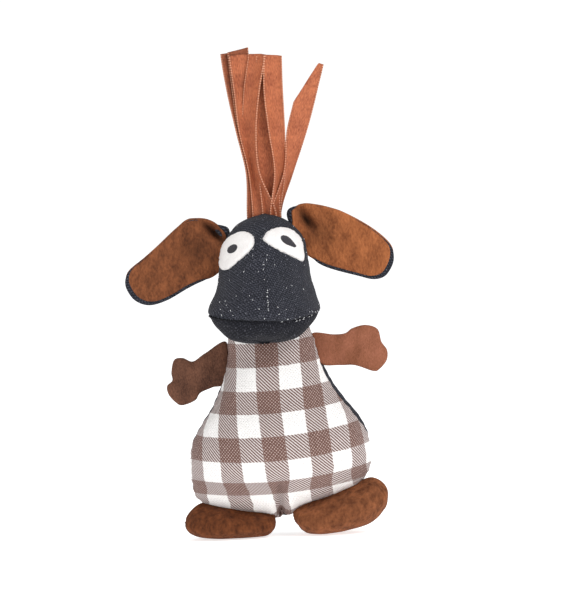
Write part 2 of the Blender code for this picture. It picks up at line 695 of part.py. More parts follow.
def main():
    """Build every piece."""
    clear_scene()
    bench = Bench()
    gingham = fabric("gingham_cotton", "B9A49E", 0.85)
    denim = fabric("dark_denim", "3B3C44", 0.9)
    fibre = fabric("polyester_fibre", "F2F1EC", 0.95)
    ear_velour = fabric("brown_velour", "95562F", 0.8)
    foot_velour = fabric("foot_velour", "7C4730", 0.85)
    suede = fabric("brown_suede", "86543F", 0.85)
    satin = fabric("satin_ribbon", "AE6346", 0.4)
    felt = fabric("white_felt", "ECEBEA", 0.9)
    dark_thread = fabric("dark_thread", "3A363C", 0.6)
    neck_thread = fabric("neck_thread", "2C2C33", 0.7)

    body, head = body_form(), head_form()
    make_body(bench, body, gingham, denim, fibre)
    turn = bench.pivot("neck_turn_axis", bench.neck, (0.0, 0.0, neck_top()))
    make_neck_stitching(bench, turn, neck_thread)
    nod = bench.pivot("neck_nod_axis", turn, (0.0, 0.0, neck_top() + GAP))
    make_head(bench, head, nod, denim, fibre)
    make_eyes(bench, head, nod, felt, dark_thread)
    make_ear(bench, head, "left", EAR_LEFT_ROWS, -1, EAR_LEFT_LEVEL, nod, ear_velour, denim)
    make_ear(bench, head, "right", EAR_RIGHT_ROWS, 1, EAR_RIGHT_LEVEL, nod, ear_velour, denim)
    make_arm(bench, body, "left", ARM_LEFT_OUTLINE, ARM_LENGTH, -1, ARM_LEFT_LEVEL, suede)
    make_arm(bench, body, "right", ARM_RIGHT_OUTLINE, ARM_RIGHT_LENGTH, 1, ARM_RIGHT_LEVEL, suede)
    make_foot(bench, body, "left", FOOT_LEFT_ROWS, FOOT_LEFT_CREST, -1, foot_velour, fibre)
    make_foot(bench, body, "right", FOOT_RIGHT_ROWS, FOOT_RIGHT_CREST, 1, foot_velour, fibre)
    make_tuft(bench, nod, satin)


main()
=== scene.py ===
"""Small sewn fabric animal with a ribbon tuft: its looks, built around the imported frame.

Shapes are worked out in millimetres in the row frame and turned to metres by MM where a mesh
is made. A surface is a grid of points: rows run up or out along a piece, columns run around
or across it. The face looks towards -Y, and left is -X.
"""

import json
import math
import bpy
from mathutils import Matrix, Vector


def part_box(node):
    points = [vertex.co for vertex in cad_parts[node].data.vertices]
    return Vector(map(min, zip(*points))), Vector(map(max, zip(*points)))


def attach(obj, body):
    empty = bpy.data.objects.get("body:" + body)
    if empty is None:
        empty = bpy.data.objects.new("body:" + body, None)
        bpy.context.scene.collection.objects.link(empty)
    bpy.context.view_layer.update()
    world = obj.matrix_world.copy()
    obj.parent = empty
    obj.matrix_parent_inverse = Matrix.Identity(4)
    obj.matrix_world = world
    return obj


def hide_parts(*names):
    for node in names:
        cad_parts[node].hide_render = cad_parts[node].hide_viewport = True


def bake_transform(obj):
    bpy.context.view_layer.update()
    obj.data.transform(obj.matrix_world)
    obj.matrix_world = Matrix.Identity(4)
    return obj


bl_info = {
    "name": "Sewn fabric animal",
    "version": (1, 0, 0),
    "blender": (4, 5, 0),
    "location": "3D View > Sidebar > Fabric Animal",
    "description": "Builds the cloth, ribbon and stitching of a small stuffed animal",
    "category": "Add Mesh",
}

import bpy
import numpy as np
from bpy.props import PointerProperty, StringProperty
from mathutils import Matrix, Vector
from mathutils.bvhtree import BVHTree

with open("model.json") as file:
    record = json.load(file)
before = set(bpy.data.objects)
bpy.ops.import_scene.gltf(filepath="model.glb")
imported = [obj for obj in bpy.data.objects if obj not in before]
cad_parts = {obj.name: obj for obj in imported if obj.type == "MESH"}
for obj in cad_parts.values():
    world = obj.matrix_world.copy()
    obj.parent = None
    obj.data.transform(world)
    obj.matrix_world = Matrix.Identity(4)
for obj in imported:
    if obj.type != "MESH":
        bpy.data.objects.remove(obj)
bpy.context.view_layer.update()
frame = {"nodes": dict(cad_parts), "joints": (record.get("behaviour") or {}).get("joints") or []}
MM = 0.001
GRID_UV = "cloth_mm"          # UV map whose numbers are millimetres of cloth


# ---- places read from the frame ----
def extent(*names):
    """Lowest and highest corner of some CAD nodes together, in millimetres."""
    corners = np.array([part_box(name) for name in names]) / MM
    return corners[:, 0].min(axis=0), corners[:, 1].max(axis=0)


def hinge(name):
    """Place of a joint in millimetres."""
    joint = next(j for j in frame["joints"] if j["name"] == name)
    return np.array(joint["pos_m"]) / MM


NECK = hinge("neck_turn")
CROWN = hinge("tuft_flop")
BODY_LOW, BODY_HIGH = extent("body_front_panel", "body_back_panel")
HEAD_LOW, HEAD_HIGH = extent("face_panel", "chin_panel", "head_back_panel")
BODY_SIZE = BODY_HIGH - BODY_LOW
HEAD_SIZE = HEAD_HIGH - HEAD_LOW

# ---- shapes, as shares of those sizes ----
NECK_WIDTH = 42.5
NECK_DEPTH = 32.3
BELLY_SAG = 6.0               # how far the belly's sides ride above its front
HEM_TILT = 3.0                # how far the right end of the hem rides above its middle
HEAD_LEAN = 2.0               # how far the crown is right of the chin
# height, belly width, belly depth, neck, lean, tilt, sag
BODY_ROWS = (
    (0.000, 0.000, 0.000, 0.00, 1.0, 0.00, 0.00),
    (0.012, 0.405, 0.100, 0.00, 1.0, 0.60, 0.55),
    (0.043, 0.756, 0.276, 0.00, 0.9, 1.00, 0.70),
    (0.084, 0.929, 0.480, 0.00, 0.9, 1.00, 0.83),
    (0.131, 0.983, 0.707, 0.00, 1.0, 1.00, 1.00),
    (0.196, 1.000, 0.897, 0.00, 1.0, 0.75, 1.00),
    (0.290, 1.000, 1.000, 0.00, 1.0, 0.50, 0.75),
    (0.395, 0.936, 0.970, 0.06, 1.1, 0.33, 0.33),
    (0.489, 0.774, 0.800, 0.23, 1.2, 0.25, 0.00),
    (0.577, 0.510, 0.530, 0.49, 1.2, 0.17, 0.00),
    (0.665, 0.292, 0.310, 0.71, 1.0, 0.17, 0.00),
    (0.758, 0.118, 0.130, 0.88, 0.7, 0.17, 0.00),
    (0.841, 0.000, 0.000, 1.00, 0.4, 0.08, 0.00),
    (0.930, 0.000, 0.000, 0.95, 0.2, 0.00, 0.00),
    (1.010, 0.000, 0.000, 0.80, 0.1, 0.00, 0.00),
    (1.065, 0.000, 0.000, 0.55, 0.1, 0.00, 0.00),
    (1.080, 0.000, 0.000, 0.00, 0.1, 0.00, 0.00),
)
# front y, front height, back y, back height, width, side height
HEAD_ROWS = (
    (-0.457, 0.020, -0.457, 0.020, 0.000, 0.020),
    (-0.575, 0.052, -0.338, 0.048, 0.530, 0.048),
    (-0.631, 0.128, -0.237, 0.128, 0.805, 0.132),
    (-0.653, 0.216, -0.178, 0.205, 0.945, 0.212),
    (-0.640, 0.306, 0.203, 0.203, 0.985, 0.268),
    (-0.584, 0.422, 0.313, 0.328, 0.892, 0.374),
    (-0.499, 0.547, 0.347, 0.461, 0.819, 0.496),
    (-0.423, 0.676, 0.347, 0.607, 0.787, 0.642),
    (-0.364, 0.796, 0.313, 0.753, 0.732, 0.767),
    (-0.279, 0.899, 0.254, 0.878, 0.575, 0.878),
    (-0.161, 0.971, 0.144, 0.962, 0.331, 0.957),
    (-0.008, 1.000, -0.008, 1.000, 0.000, 1.000),
)
# ear outlines: share of the way out from the root, share of the way up
EAR_LEFT_OUTLINE = (
    (-0.02, 0.78), (0.06, 0.89), (0.15, 0.95), (0.32, 0.98), (0.46, 0.88), (0.66, 0.68),
    (0.80, 0.55), (0.95, 0.42), (0.995, 0.31), (0.98, 0.20), (0.90, 0.07), (0.76, 0.01),
    (0.58, 0.06), (0.38, 0.18), (0.26, 0.24), (0.12, 0.30), (0.02, 0.42), (-0.03, 0.60),
)
EAR_RIGHT_OUTLINE = (
    (-0.03, 0.90), (0.03, 0.97), (0.10, 0.99), (0.22, 0.98), (0.46, 0.89), (0.69, 0.73),
    (0.86, 0.57), (0.97, 0.41), (0.985, 0.26), (0.94, 0.12), (0.87, 0.03), (0.76, 0.01),
    (0.62, 0.06), (0.41, 0.14), (0.27, 0.21), (0.17, 0.30), (0.06, 0.45), (-0.01, 0.68),
)
# arm outlines: out and up from the hinge as shares of the arm's length
ARM_LEFT_OUTLINE = (
    (-0.12, 0.37), (0.28, 0.19), (0.51, 0.05), (0.69, 0.12), (0.85, 0.09), (0.91, -0.13),
    (0.90, -0.28), (1.00, -0.38), (0.98, -0.53), (0.87, -0.67), (0.74, -0.74), (0.50, -0.66),
    (0.40, -0.53), (0.18, -0.44), (-0.06, -0.34),
)
ARM_RIGHT_OUTLINE = (
    (-0.11, 0.23), (0.20, 0.20), (0.38, 0.21), (0.49, 0.28), (0.69, 0.32), (0.87, 0.25),
    (0.92, 0.06), (1.00, -0.07), (0.99, -0.22), (0.88, -0.35), (0.78, -0.38), (0.51, -0.28),
    (0.28, -0.27), (0.00, -0.24), (-0.08, 0.00),
)
# eye outlines in millimetres from the felt's middle, right and up
EYE_LEFT_OUTLINE = (
    (2.5, 8.8), (6.4, 7.2), (7.4, 4.2), (6.2, 1.4), (3.0, -1.6), (-0.3, -4.2), (-4.2, -7.2),
    (-7.4, -7.6), (-9.0, -5.2), (-8.3, -0.2), (-5.8, 4.4), (-2.2, 7.4),
)
EYE_RIGHT_OUTLINE = (
    (-7.6, 3.9), (-5.8, 6.1), (-1.1, 7.7), (3.3, 7.1), (6.2, 5.3), (8.7, 2.3), (9.7, -1.3),
    (9.5, -7.4), (5.8, -5.9), (1.4, -3.4), (-2.3, -1.4), (-6.4, 1.4), (-8.0, 2.9),
)
PUPIL_LEFT = (-1.7, 1.0, 3.0, 1.9, 38.0)        # right, up, half length, half width, tilt
PUPIL_RIGHT = (2.1, 1.3, 3.9, 1.8, -38.0)


# ---- curves and grids ----
def between_rows(rows, t):
    """Catmull-Rom curve through evenly spaced rows: cubic, through each row, sloped as its neighbours."""
    last = len(rows) - 1
    s = np.clip(np.asarray(t, float), 0.0, 1.0) * last
    i = np.minimum(s.astype(int), last - 1)
    f = (s - i)[..., None]
    before, here = rows[np.maximum(i - 1, 0)], rows[i]
    ahead, beyond = rows[i + 1], rows[np.minimum(i + 2, last)]
    return here + 0.5 * f * (
        ahead - before
        + f * (2 * before - 5 * here + 4 * ahead - beyond + f * (3 * (here - ahead) + beyond - before))
    )


def closed_curve(points, count):
    """Closed Catmull-Rom outline through points, anticlockwise as they are given."""
    ring = np.array(points, float)
    wrap = np.vstack([ring[-1:], ring, ring[:2]])
    s = np.linspace(0.0, len(points), count, endpoint=False)
    i = s.astype(int)
    f = (s - i)[:, None]
    before, here, ahead, beyond = wrap[i], wrap[i + 1], wrap[i + 2], wrap[i + 3]
    return here + 0.5 * f * (
        ahead - before
        + f * (2 * before - 5 * here + 4 * ahead - beyond + f * (3 * (here - ahead) + beyond - before))
    )


def bump(x, middle, width):
    """Bell curve: 1 at the middle, fading over the width."""
    return np.exp(-(((x - middle) / width) ** 2))


def ramp(x, start, end):
    """0 before start, 1 after end, smooth between."""
    s = np.clip((x - start) / (end - start), 0.0, 1.0)
    return s * s * (3 - 2 * s)


def lumps(points, size, seed):
    """Soft bumps between -1 and 1: seven sine waves about the given size long, in seeded directions."""
    rng = np.random.default_rng(seed)
    total = np.zeros(points.shape[:-1])
    for _ in range(7):
        way = rng.normal(size=points.shape[-1])
        way *= 2 * math.pi / (size * rng.uniform(0.7, 1.5) * np.linalg.norm(way))
        total += np.sin(points @ way + rng.uniform(0, 2 * math.pi))
    return total / 3.5


def outward(points, wrap=True):
    """Unit normals of a grid: the cross product of its steps along the columns and up the rows."""
    if wrap:
        across = np.roll(points, -1, axis=1) - np.roll(points, 1, axis=1)
    else:
        across = np.gradient(points, axis=1)
    n = np.cross(across, np.gradient(points, axis=0))
    if wrap:
        n[0], n[-1] = n[1].mean(axis=0), n[-2].mean(axis=0)
    return n / np.maximum(np.linalg.norm(n, axis=-1, keepdims=True), 1e-9)


def run_length(points, axis):
    """Distance gone along a grid's rows (axis 0) or columns (axis 1) from its first point."""
    steps = np.linalg.norm(np.diff(points, axis=axis), axis=-1)
    pad = [(1, 0), (0, 0)] if axis == 0 else [(0, 0), (1, 0)]
    return np.cumsum(np.pad(steps, pad), axis=axis)


def sewn_grid(points, wrap=True, poles=(True, True), cells=None, flip=False):
    """Vertices, faces and grid places of face corners; columns close when wrap, rows at poles."""
    rows, cols = points.shape[:2]
    index = np.arange(rows * cols).reshape(rows, cols)
    if poles[0]:
        index[0] = index[0, 0]
    if poles[1]:
        index[-1] = index[-1, 0]
    i, j = np.mgrid[0:rows - 1, 0:cols if wrap else cols - 1]
    if cells is not None:
        i, j = i[cells], j[cells]
    i, j = i.ravel(), j.ravel()
    corners = [(i, j), (i, j + 1), (i + 1, j + 1), (i + 1, j)]
    faces, places = [], []
    at_low, at_high = (i == 0) & poles[0], (i == rows - 2) & poles[1]
    for chosen, pick in ((at_low, (0, 2, 3)), (at_high, (0, 1, 2)), (~(at_low | at_high), (0, 1, 2, 3))):
        if not chosen.any():
            continue
        order = pick[::-1] if flip else pick
        grid = np.stack([np.stack(corners[k], axis=-1)[chosen] for k in order], axis=1)
        faces += index[grid[..., 0], grid[..., 1] % cols].tolist()
        places.append(grid.reshape(-1, 2))
    used, renamed = np.unique(np.concatenate([np.ravel(f) for f in faces]), return_inverse=True)
    sizes = np.cumsum([len(f) for f in faces])[:-1]
    faces = [f.tolist() for f in np.split(renamed, sizes)]
    return points.reshape(-1, 3)[used], faces, np.vstack(places), used, index


def cloth_mesh(name, points, uv=None, marks=None, **how):
    """A mesh from a grid of points, with a UV map in millimetres and named marks for its vertices."""
    verts, faces, places, used, _ = sewn_grid(points, **how)
    mesh = bpy.data.meshes.new(name)
    mesh.from_pydata((verts * MM).tolist(), [], faces)
    if uv is not None:
        layer = mesh.uv_layers.new(name=GRID_UV)
        layer.data.foreach_set("uv", uv[places[:, 0], places[:, 1]].astype(np.float32).ravel())
    for mark, values in (marks or {}).items():
        attribute = mesh.attributes.new(mark, "FLOAT", "POINT")
        attribute.data.foreach_set("value", values.reshape(-1)[used].astype(np.float32))
    mesh.shade_smooth()
    return mesh


def piece(name, mesh, material, body=None, wall=0.0, fine=0, inward=-1.0):
    """Put a mesh in the scene with its finish, and give it a subdivision and a wall of its own."""
    obj = bpy.data.objects.new(name, mesh)
    bpy.context.scene.collection.objects.link(obj)
    mesh.materials.append(material)
    if fine:
        smooth = obj.modifiers.new("finer", "SUBSURF")
        smooth.levels = smooth.render_levels = fine
    if wall:
        thick = obj.modifiers.new("wall", "SOLIDIFY")
        thick.thickness = wall * MM
        thick.offset = inward
        thick.use_even_offset = False
    if body:
        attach(obj, body)
    return obj


# ---- cloth under the pressure of its filling ----
SIM_SCALE = 10.0              # the solver suits things about a metre across
SIM_FRAMES = 20
SIM_PRESSURE = 4.0
SIM_SLACK = 0.02              # how much larger than its form the cloth is cut
SIM_SMOOTHING = 4             # passes that even out the relief
BODY_RELIEF = 0.9             # the most that a filling moves its cloth
HEAD_RELIEF = 1.2
FOOT_RELIEF = 1.0


def filled_out(name, points, held, most):
    """Relief that a filling gives a closed grid: simulated cloth, less its even swelling, in millimetres.

    The held points are the seams. The cloth is cut larger by SIM_SLACK, so it puckers between them.
    No point moves further than most."""
    scene = bpy.context.scene
    verts, faces, _, used, index = sewn_grid(points)
    mesh = bpy.data.meshes.new(name)
    mesh.from_pydata((verts * MM * SIM_SCALE).tolist(), [], faces)
    obj = bpy.data.objects.new(name, mesh)
    scene.collection.objects.link(obj)
    group = obj.vertex_groups.new(name="held")
    group.add(np.flatnonzero(held.reshape(-1)[used]).tolist(), 1.0, "REPLACE")
    cloth = obj.modifiers.new("cloth", "CLOTH")
    settings = cloth.settings
    settings.quality = 5
    settings.mass = 0.2
    settings.tension_stiffness = settings.compression_stiffness = 15.0
    settings.shear_stiffness = 8.0
    settings.bending_stiffness = 0.4
    settings.air_damping = 2.0
    settings.use_pressure = True
    settings.uniform_pressure_force = SIM_PRESSURE
    settings.shrink_min = -SIM_SLACK
    settings.vertex_group_mass = "held"
    settings.effector_weights.gravity = 0.0
    cloth.point_cache.frame_start = 1
    cloth.point_cache.frame_end = SIM_FRAMES
    for step in range(1, SIM_FRAMES + 1):
        scene.frame_set(step)
    mesh_now = obj.evaluated_get(bpy.context.evaluated_depsgraph_get()).to_mesh()
    found = np.zeros(len(verts) * 3, np.float32)
    mesh_now.vertices.foreach_get("co", found)
    scene.frame_set(1)
    bpy.data.objects.remove(obj, do_unlink=True)
    moved = found.reshape(-1, 3).astype(float) / (MM * SIM_SCALE) - verts
    spread = np.zeros((points.shape[0] * points.shape[1], 3))
    spread[used] = moved
    moved = spread[index]
    normal = outward(points)
    swelling = (moved * normal).sum(axis=-1)
    even = max(float(np.median(swelling)), 0.0)
    moved = moved - normal * np.clip(swelling, 0.0, even)[..., None]
    for _ in range(SIM_SMOOTHING):
        moved = (2 * moved + np.roll(moved, 1, axis=1) + np.roll(moved, -1, axis=1)) / 4
        moved[1:-1] = (2 * moved[1:-1] + moved[:-2] + moved[2:]) / 4
    size = np.linalg.norm(moved, axis=-1, keepdims=True)
    return points + moved * most * np.tanh(size / most) / np.maximum(size, 1e-6)


# ---- the two stuffed forms ----
class Form:
    """A closed soft form: ring t has a middle, half sizes, tilts and a sideways sag."""

    def __init__(self, rows):
        self.rows = np.array(rows, float)

    def point(self, angle, t):
        """Ellipse around each middle: x across, y deep, z tilted by roll and pitch, lifted at the sides."""
        x, wide, y, deep, z, roll, pitch, sag = np.moveaxis(between_rows(self.rows, t), -1, 0)
        c, s = np.cos(angle), np.sin(angle)
        return np.stack([x + wide * c, y + deep * s, z + roll * c + pitch * s + sag * c * c], axis=-1)


def body_form():
    """The belly narrowing to the neck, whose top reaches into the head."""
    lean = (BODY_LOW[0] + BODY_HIGH[0]) / 2 - NECK[0]
    forward = NECK[1] - (BODY_LOW[1] + BODY_HIGH[1]) / 2
    rows = []
    for height, wide, deep, neck, lean_share, tilt, sag in BODY_ROWS:
        rows.append((
            NECK[0] + lean * lean_share,
            (BODY_SIZE[0] * wide + NECK_WIDTH * neck) / 2,
            NECK[1] - forward * deep,
            (BODY_SIZE[1] * deep + NECK_DEPTH * neck) / 2,
            BODY_LOW[2] + BODY_SIZE[2] * height,
            HEM_TILT * tilt,
            0.0,
            BELLY_SAG * sag,
        ))
    return Form(rows)


def head_form():
    """The muzzle below, forward of the neck, and the narrower crown above."""
    chin_x = (HEAD_LOW[0] + HEAD_HIGH[0]) / 2 + 0.2
    rows = []
    for front, front_z, back, back_z, wide, side_z in HEAD_ROWS:
        level = (front_z + back_z) / 2
        rows.append((
            chin_x + HEAD_LEAN * level,
            HEAD_SIZE[0] * wide / 2,
            NECK[1] + HEAD_SIZE[1] * (front + back) / 2,
            HEAD_SIZE[1] * (back - front) / 2,
            HEAD_LOW[2] + HEAD_SIZE[2] * level,
            0.0,
            HEAD_SIZE[2] * (back_z - front_z) / 2,
            HEAD_SIZE[2] * (side_z - level),
        ))
    return Form(rows)


# ---- materials ----
def linear(code):
    """Linear colour from an sRGB hex code."""
    srgb = [int(code[i:i + 2], 16) / 255.0 for i in (0, 2, 4)]
    return tuple(c / 12.92 if c <= 0.04045 else ((c + 0.055) / 1.055) ** 2.4 for c in srgb) + (1.0,)


def add_node(tree, kind, inputs=None, output=None, **settings):
    """Add a node: inputs maps a socket's name or number to a number or to a linked output."""
    made = tree.nodes.new(kind)
    for key, value in settings.items():
        setattr(made, key, value)
    sockets = [s for s in made.inputs if s.enabled]
    for key, value in (inputs or {}).items():
        socket = sockets[key] if isinstance(key, int) else next(s for s in sockets if s.name == key)
        if isinstance(value, bpy.types.NodeSocket):
            tree.links.new(value, socket)
        else:
            socket.default_value = value
    return made.outputs[output] if output else next(s for s in made.outputs if s.enabled)


def math_of(tree, operation, *values, clamp=False):
    """One step of arithmetic on sockets or numbers."""
    return add_node(tree, "ShaderNodeMath", dict(enumerate(values)), operation=operation, use_clamp=clamp)


def mix_of(tree, share, one, two):
    """A colour between two."""
    return add_node(tree, "ShaderNodeMix", {"Factor": share, "A": one, "B": two}, data_type="RGBA")


def stripes(tree, along, period, sharp=1.0, start=0.0):
    """0 to 1 across a set of parallel threads: a sine of the place over the period, steepened by sharp."""
    shift = math.pi / 2 - 2 * math.pi * start / period
    turns = math_of(tree, "MULTIPLY_ADD", along, 2 * math.pi / period, shift)
    return math_of(tree, "MULTIPLY_ADD", math_of(tree, "SINE", turns), sharp / 2, 0.5, clamp=True)


def speckle(tree, where, size, low, high, detail=2.0):
    """0 to 1 spots of a noise about the given size in millimetres, cut between two levels."""
    grain = add_node(tree, "ShaderNodeTexNoise", {"Vector": where, "Scale": 1.0 / size, "Detail": detail})
    return add_node(tree, "ShaderNodeMapRange", {"Value": grain, "From Min": low, "From Max": high})


def finish_of(name, sheen=0.0, roughness=0.9, specular=0.3, **extra):
    """A material with its Principled shader's even settings."""
    mat = bpy.data.materials.new(name)
    mat.use_nodes = True
    shader = mat.node_tree.nodes["Principled BSDF"]
    for key, value in {
        "Sheen Weight": sheen, "Sheen Roughness": 0.5, "Roughness": roughness,
        "Specular IOR Level": specular, "IOR": 1.5, **extra,
    }.items():
        shader.inputs[key].default_value = value
    return mat, mat.node_tree, shader


def raised(tree, shader, height, depth):
    """Bump a shader by a height field, whose full height is depth millimetres."""
    normal = add_node(tree, "ShaderNodeBump", {"Height": height, "Strength": 1.0, "Distance": depth * MM})
    tree.links.new(normal, shader.inputs["Normal"])


def cloth_place(tree):
    """Place on the cloth in millimetres: the vector, its across part and its along part."""
    where = add_node(tree, "ShaderNodeUVMap", uv_map=GRID_UV)
    apart = tree.nodes.new("ShaderNodeSeparateXYZ")
    tree.links.new(where, apart.inputs[0])
    return where, apart.outputs["X"], apart.outputs["Y"]


def object_place(tree):
    """Object coordinates in millimetres."""
    where = add_node(tree, "ShaderNodeTexCoord", output="Object")
    return add_node(tree, "ShaderNodeVectorMath", {0: where, "Scale": 1.0 / MM}, operation="SCALE")


CHECK_WIDE, CHECK_HIGH = 10.5, 11.1       # one check of the gingham, in millimetres
RIBS_PER_CHECK = 7


def woven_gingham(brown, white):
    """Twill gingham cotton: brown and white checks, diagonal ribs in the half-tone ones, matt."""
    mat, tree, shader = finish_of("woven_gingham_cotton", sheen=0.1, roughness=0.88, specular=0.2)
    where, u, v = cloth_place(tree)
    wander = speckle(tree, where, 3.0, 0.2, 0.8)
    wander = math_of(tree, "MULTIPLY_ADD", wander, 0.5, -0.25)
    u_now = math_of(tree, "ADD", u, wander)
    v_now = math_of(tree, "SUBTRACT", v, wander)
    columns = stripes(tree, u_now, 2 * CHECK_WIDE, sharp=16.0)
    rows = stripes(tree, v_now, 2 * CHECK_HIGH, sharp=16.0)
    rib_u = math_of(tree, "DIVIDE", u, CHECK_WIDE / RIBS_PER_CHECK)
    ribs_up = RIBS_PER_CHECK / CHECK_HIGH
    rib, rib_turned = [
        stripes(tree, math_of(tree, "MULTIPLY_ADD", v, per_mm, rib_u), 1.0, sharp=2.2)
        for per_mm in (ribs_up, -ribs_up)
    ]
    dots = math_of(tree, "MULTIPLY", rib, rib_turned)
    dots = math_of(tree, "MULTIPLY", dots, speckle(tree, where, 1.6, 0.15, 0.6))
    worn = speckle(tree, where, 0.7, 0.3, 0.75)
    pale = mix_of(tree, math_of(tree, "MULTIPLY", dots, 0.5), white, linear("D2CBC9"))
    half = mix_of(tree, math_of(tree, "MULTIPLY_ADD", rib, 0.8, 0.26), linear("EAE2E0"), brown)
    deep = mix_of(tree, math_of(tree, "MULTIPLY", dots, 1.3, clamp=True), brown, linear("C4ADA6"))
    deep = mix_of(tree, math_of(tree, "MULTIPLY", worn, 0.35), deep, linear("6B4B42"))
    both = math_of(tree, "MULTIPLY", columns, rows)
    either = math_of(tree, "MAXIMUM", columns, rows)
    colour = mix_of(tree, both, mix_of(tree, either, pale, half), deep)
    tree.links.new(colour, shader.inputs["Base Color"])
    weave_u = stripes(tree, u, CHECK_WIDE / RIBS_PER_CHECK / 2)
    weave = math_of(tree, "MULTIPLY", weave_u, stripes(tree, v, CHECK_HIGH / RIBS_PER_CHECK / 2))
    raised(tree, shader, math_of(tree, "ADD", weave, rib), 0.12)
    return mat


def dark_denim(name, base, ridge, fleck_share=1.0):
    """Raw indigo denim, inside out: near-black twill with pale weft specks and short white slubs."""
    mat, tree, shader = finish_of(name, sheen=0.04, roughness=0.92, specular=0.15)
    where, u, v = cloth_place(tree)
    # real ribs are taken as 0.6 mm apart; they are drawn 1.3 mm apart so that they show
    rib = stripes(tree, math_of(tree, "MULTIPLY_ADD", v, 0.7, u), 1.3, sharp=1.3)
    rib = math_of(tree, "MULTIPLY", rib, stripes(tree, v, 1.2, sharp=1.6))
    cloud = speckle(tree, where, 7.0, 0.3, 0.7)
    grain = speckle(tree, where, 0.8, 0.35, 0.7)
    lit = math_of(tree, "MULTIPLY", rib, math_of(tree, "MULTIPLY_ADD", cloud, 0.8, 0.45))
    lit = math_of(tree, "MULTIPLY_ADD", grain, 0.35, lit, clamp=True)
    colour = mix_of(tree, lit, linear(base), linear(ridge))
    squeezed = add_node(tree, "ShaderNodeMapping", {"Vector": where, "Scale": (1.0, 0.45, 1.0),
                                                    "Rotation": (0.0, 0.0, 0.2)})
    flecks = speckle(tree, squeezed, 0.5, 0.62, 0.76)
    colour = mix_of(tree, math_of(tree, "MULTIPLY", flecks, 0.7 * fleck_share), colour, linear("A4A5B0"))
    tree.links.new(colour, shader.inputs["Base Color"])
    raised(tree, shader, math_of(tree, "MULTIPLY_ADD", grain, 0.6, rib), 0.18)
    return mat


def napped(name, light, dark, hollow_and_shade=None, sheen=0.25, nap=1.0, patch=4.5):
    """Velour or suede: brushed pile that lies in patches, so its brown mottles from light to dark. A hollow
    colour, when given, is painted shade laid where the piece is marked.
    """
    mat, tree, shader = finish_of(name, sheen=sheen, roughness=0.9, specular=0.15)
    where = object_place(tree)
    combed = add_node(tree, "ShaderNodeMapping", {"Vector": where, "Scale": (1.0, 1.0, 0.55),
                                                  "Rotation": (0.0, 0.6, 0.0)})
    patches = speckle(tree, combed, patch, 0.32, 0.68, detail=3.0)
    strands = speckle(tree, combed, 0.9 * nap, 0.3, 0.72, detail=4.0)
    pile = math_of(tree, "MULTIPLY_ADD", strands, 0.55, math_of(tree, "MULTIPLY", patches, 0.55), clamp=True)
    colour = mix_of(tree, pile, linear(dark), linear(light))
    # Painted shade: where the ear's hollow mark is high, the colour goes towards the dark hollow brown.
    if hollow_and_shade:
        depth = add_node(tree, "ShaderNodeAttribute", output="Fac", attribute_name="hollow_and_shade")
        colour = mix_of(tree, depth, colour, linear(hollow_and_shade))
    tree.links.new(colour, shader.inputs["Base Color"])
    shader.inputs["Sheen Tint"].default_value = linear(light)
    raised(tree, shader, math_of(tree, "MULTIPLY_ADD", patches, 0.8, strands), 0.25 * nap)
    return mat


SELVAGE = 4.55                # the picot edge begins this far from the ribbon's middle
# where the painted shade line beside each selvage runs, from the ribbon's middle
SELVAGE_SHADE_LINE = 4.25


def satin(name, face, shade):
    """Double-faced satin ribbon: floats that shine along its length, dotted picot selvages."""
    mat, tree, shader = finish_of(name, sheen=0.0, roughness=0.45, specular=0.3, Anisotropic=0.5)
    where, u, v = cloth_place(tree)
    # warp floats are taken as 0.2 mm apart; they are drawn 0.5 mm apart so that they show
    floats = stripes(tree, u, 0.5)
    long_grain = add_node(tree, "ShaderNodeMapping", {"Vector": where, "Scale": (1.0, 0.3, 1.0)})
    grain = speckle(tree, long_grain, 0.45, 0.34, 0.66)
    cloud = speckle(tree, where, 7.0, 0.3, 0.7)
    lit = math_of(tree, "MULTIPLY_ADD", grain, 0.75, math_of(tree, "MULTIPLY", cloud, 0.45), clamp=True)
    colour = mix_of(tree, lit, linear(shade), linear(face))
    edge = math_of(tree, "GREATER_THAN", math_of(tree, "ABSOLUTE", u), SELVAGE)
    loops = stripes(tree, v, 1.1, sharp=4.0)
    colour = mix_of(tree, math_of(tree, "MULTIPLY", edge, math_of(tree, "MULTIPLY", loops, 0.9)),
                    colour, linear("E0A486"))
    # A dark line beside each selvage: painted shade of the groove between the picot edge and the face.
    groove = math_of(tree, "COMPARE", math_of(tree, "ABSOLUTE", u), SELVAGE_SHADE_LINE, 0.16)
    colour = mix_of(tree, math_of(tree, "MULTIPLY", groove, 0.35), colour, linear("6A3826"))
    tree.links.new(colour, shader.inputs["Base Color"])
    height = math_of(tree, "MULTIPLY_ADD", math_of(tree, "MULTIPLY", edge, loops), 2.0, floats)
    raised(tree, shader, math_of(tree, "MULTIPLY_ADD", grain, 0.5, height), 0.08)
    return mat


def pressed_felt():
    """White wool felt: short fibres pressed flat, matt."""
    mat, tree, shader = finish_of("white_wool_felt", sheen=0.3, roughness=0.95, specular=0.15)
    where = object_place(tree)
    fibres = speckle(tree, where, 0.5, 0.3, 0.75, detail=4.0)
    cloud = speckle(tree, where, 3.0, 0.3, 0.7)
    colour = mix_of(tree, math_of(tree, "MULTIPLY_ADD", cloud, 0.3, math_of(tree, "MULTIPLY", fibres, 0.5)),
                    linear("F4F1EF"), linear("DDD8D6"))
    tree.links.new(colour, shader.inputs["Base Color"])
    raised(tree, shader, fibres, 0.2)
    return mat


def sewing_thread(name, code, light):
    """Twisted polyester thread: fine slanting strands with a low shine."""
    mat, tree, shader = finish_of(name, sheen=0.1, roughness=0.6, specular=0.4)
    where = object_place(tree)
    strands = speckle(tree, where, 0.35, 0.3, 0.7)
    tree.links.new(mix_of(tree, strands, linear(code), linear(light)), shader.inputs["Base Color"])
    raised(tree, shader, strands, 0.1)
    return mat


# ---- body ----
BODY_RINGS, BODY_COLUMNS = 96, 144
CLOTH_WALL = 0.8


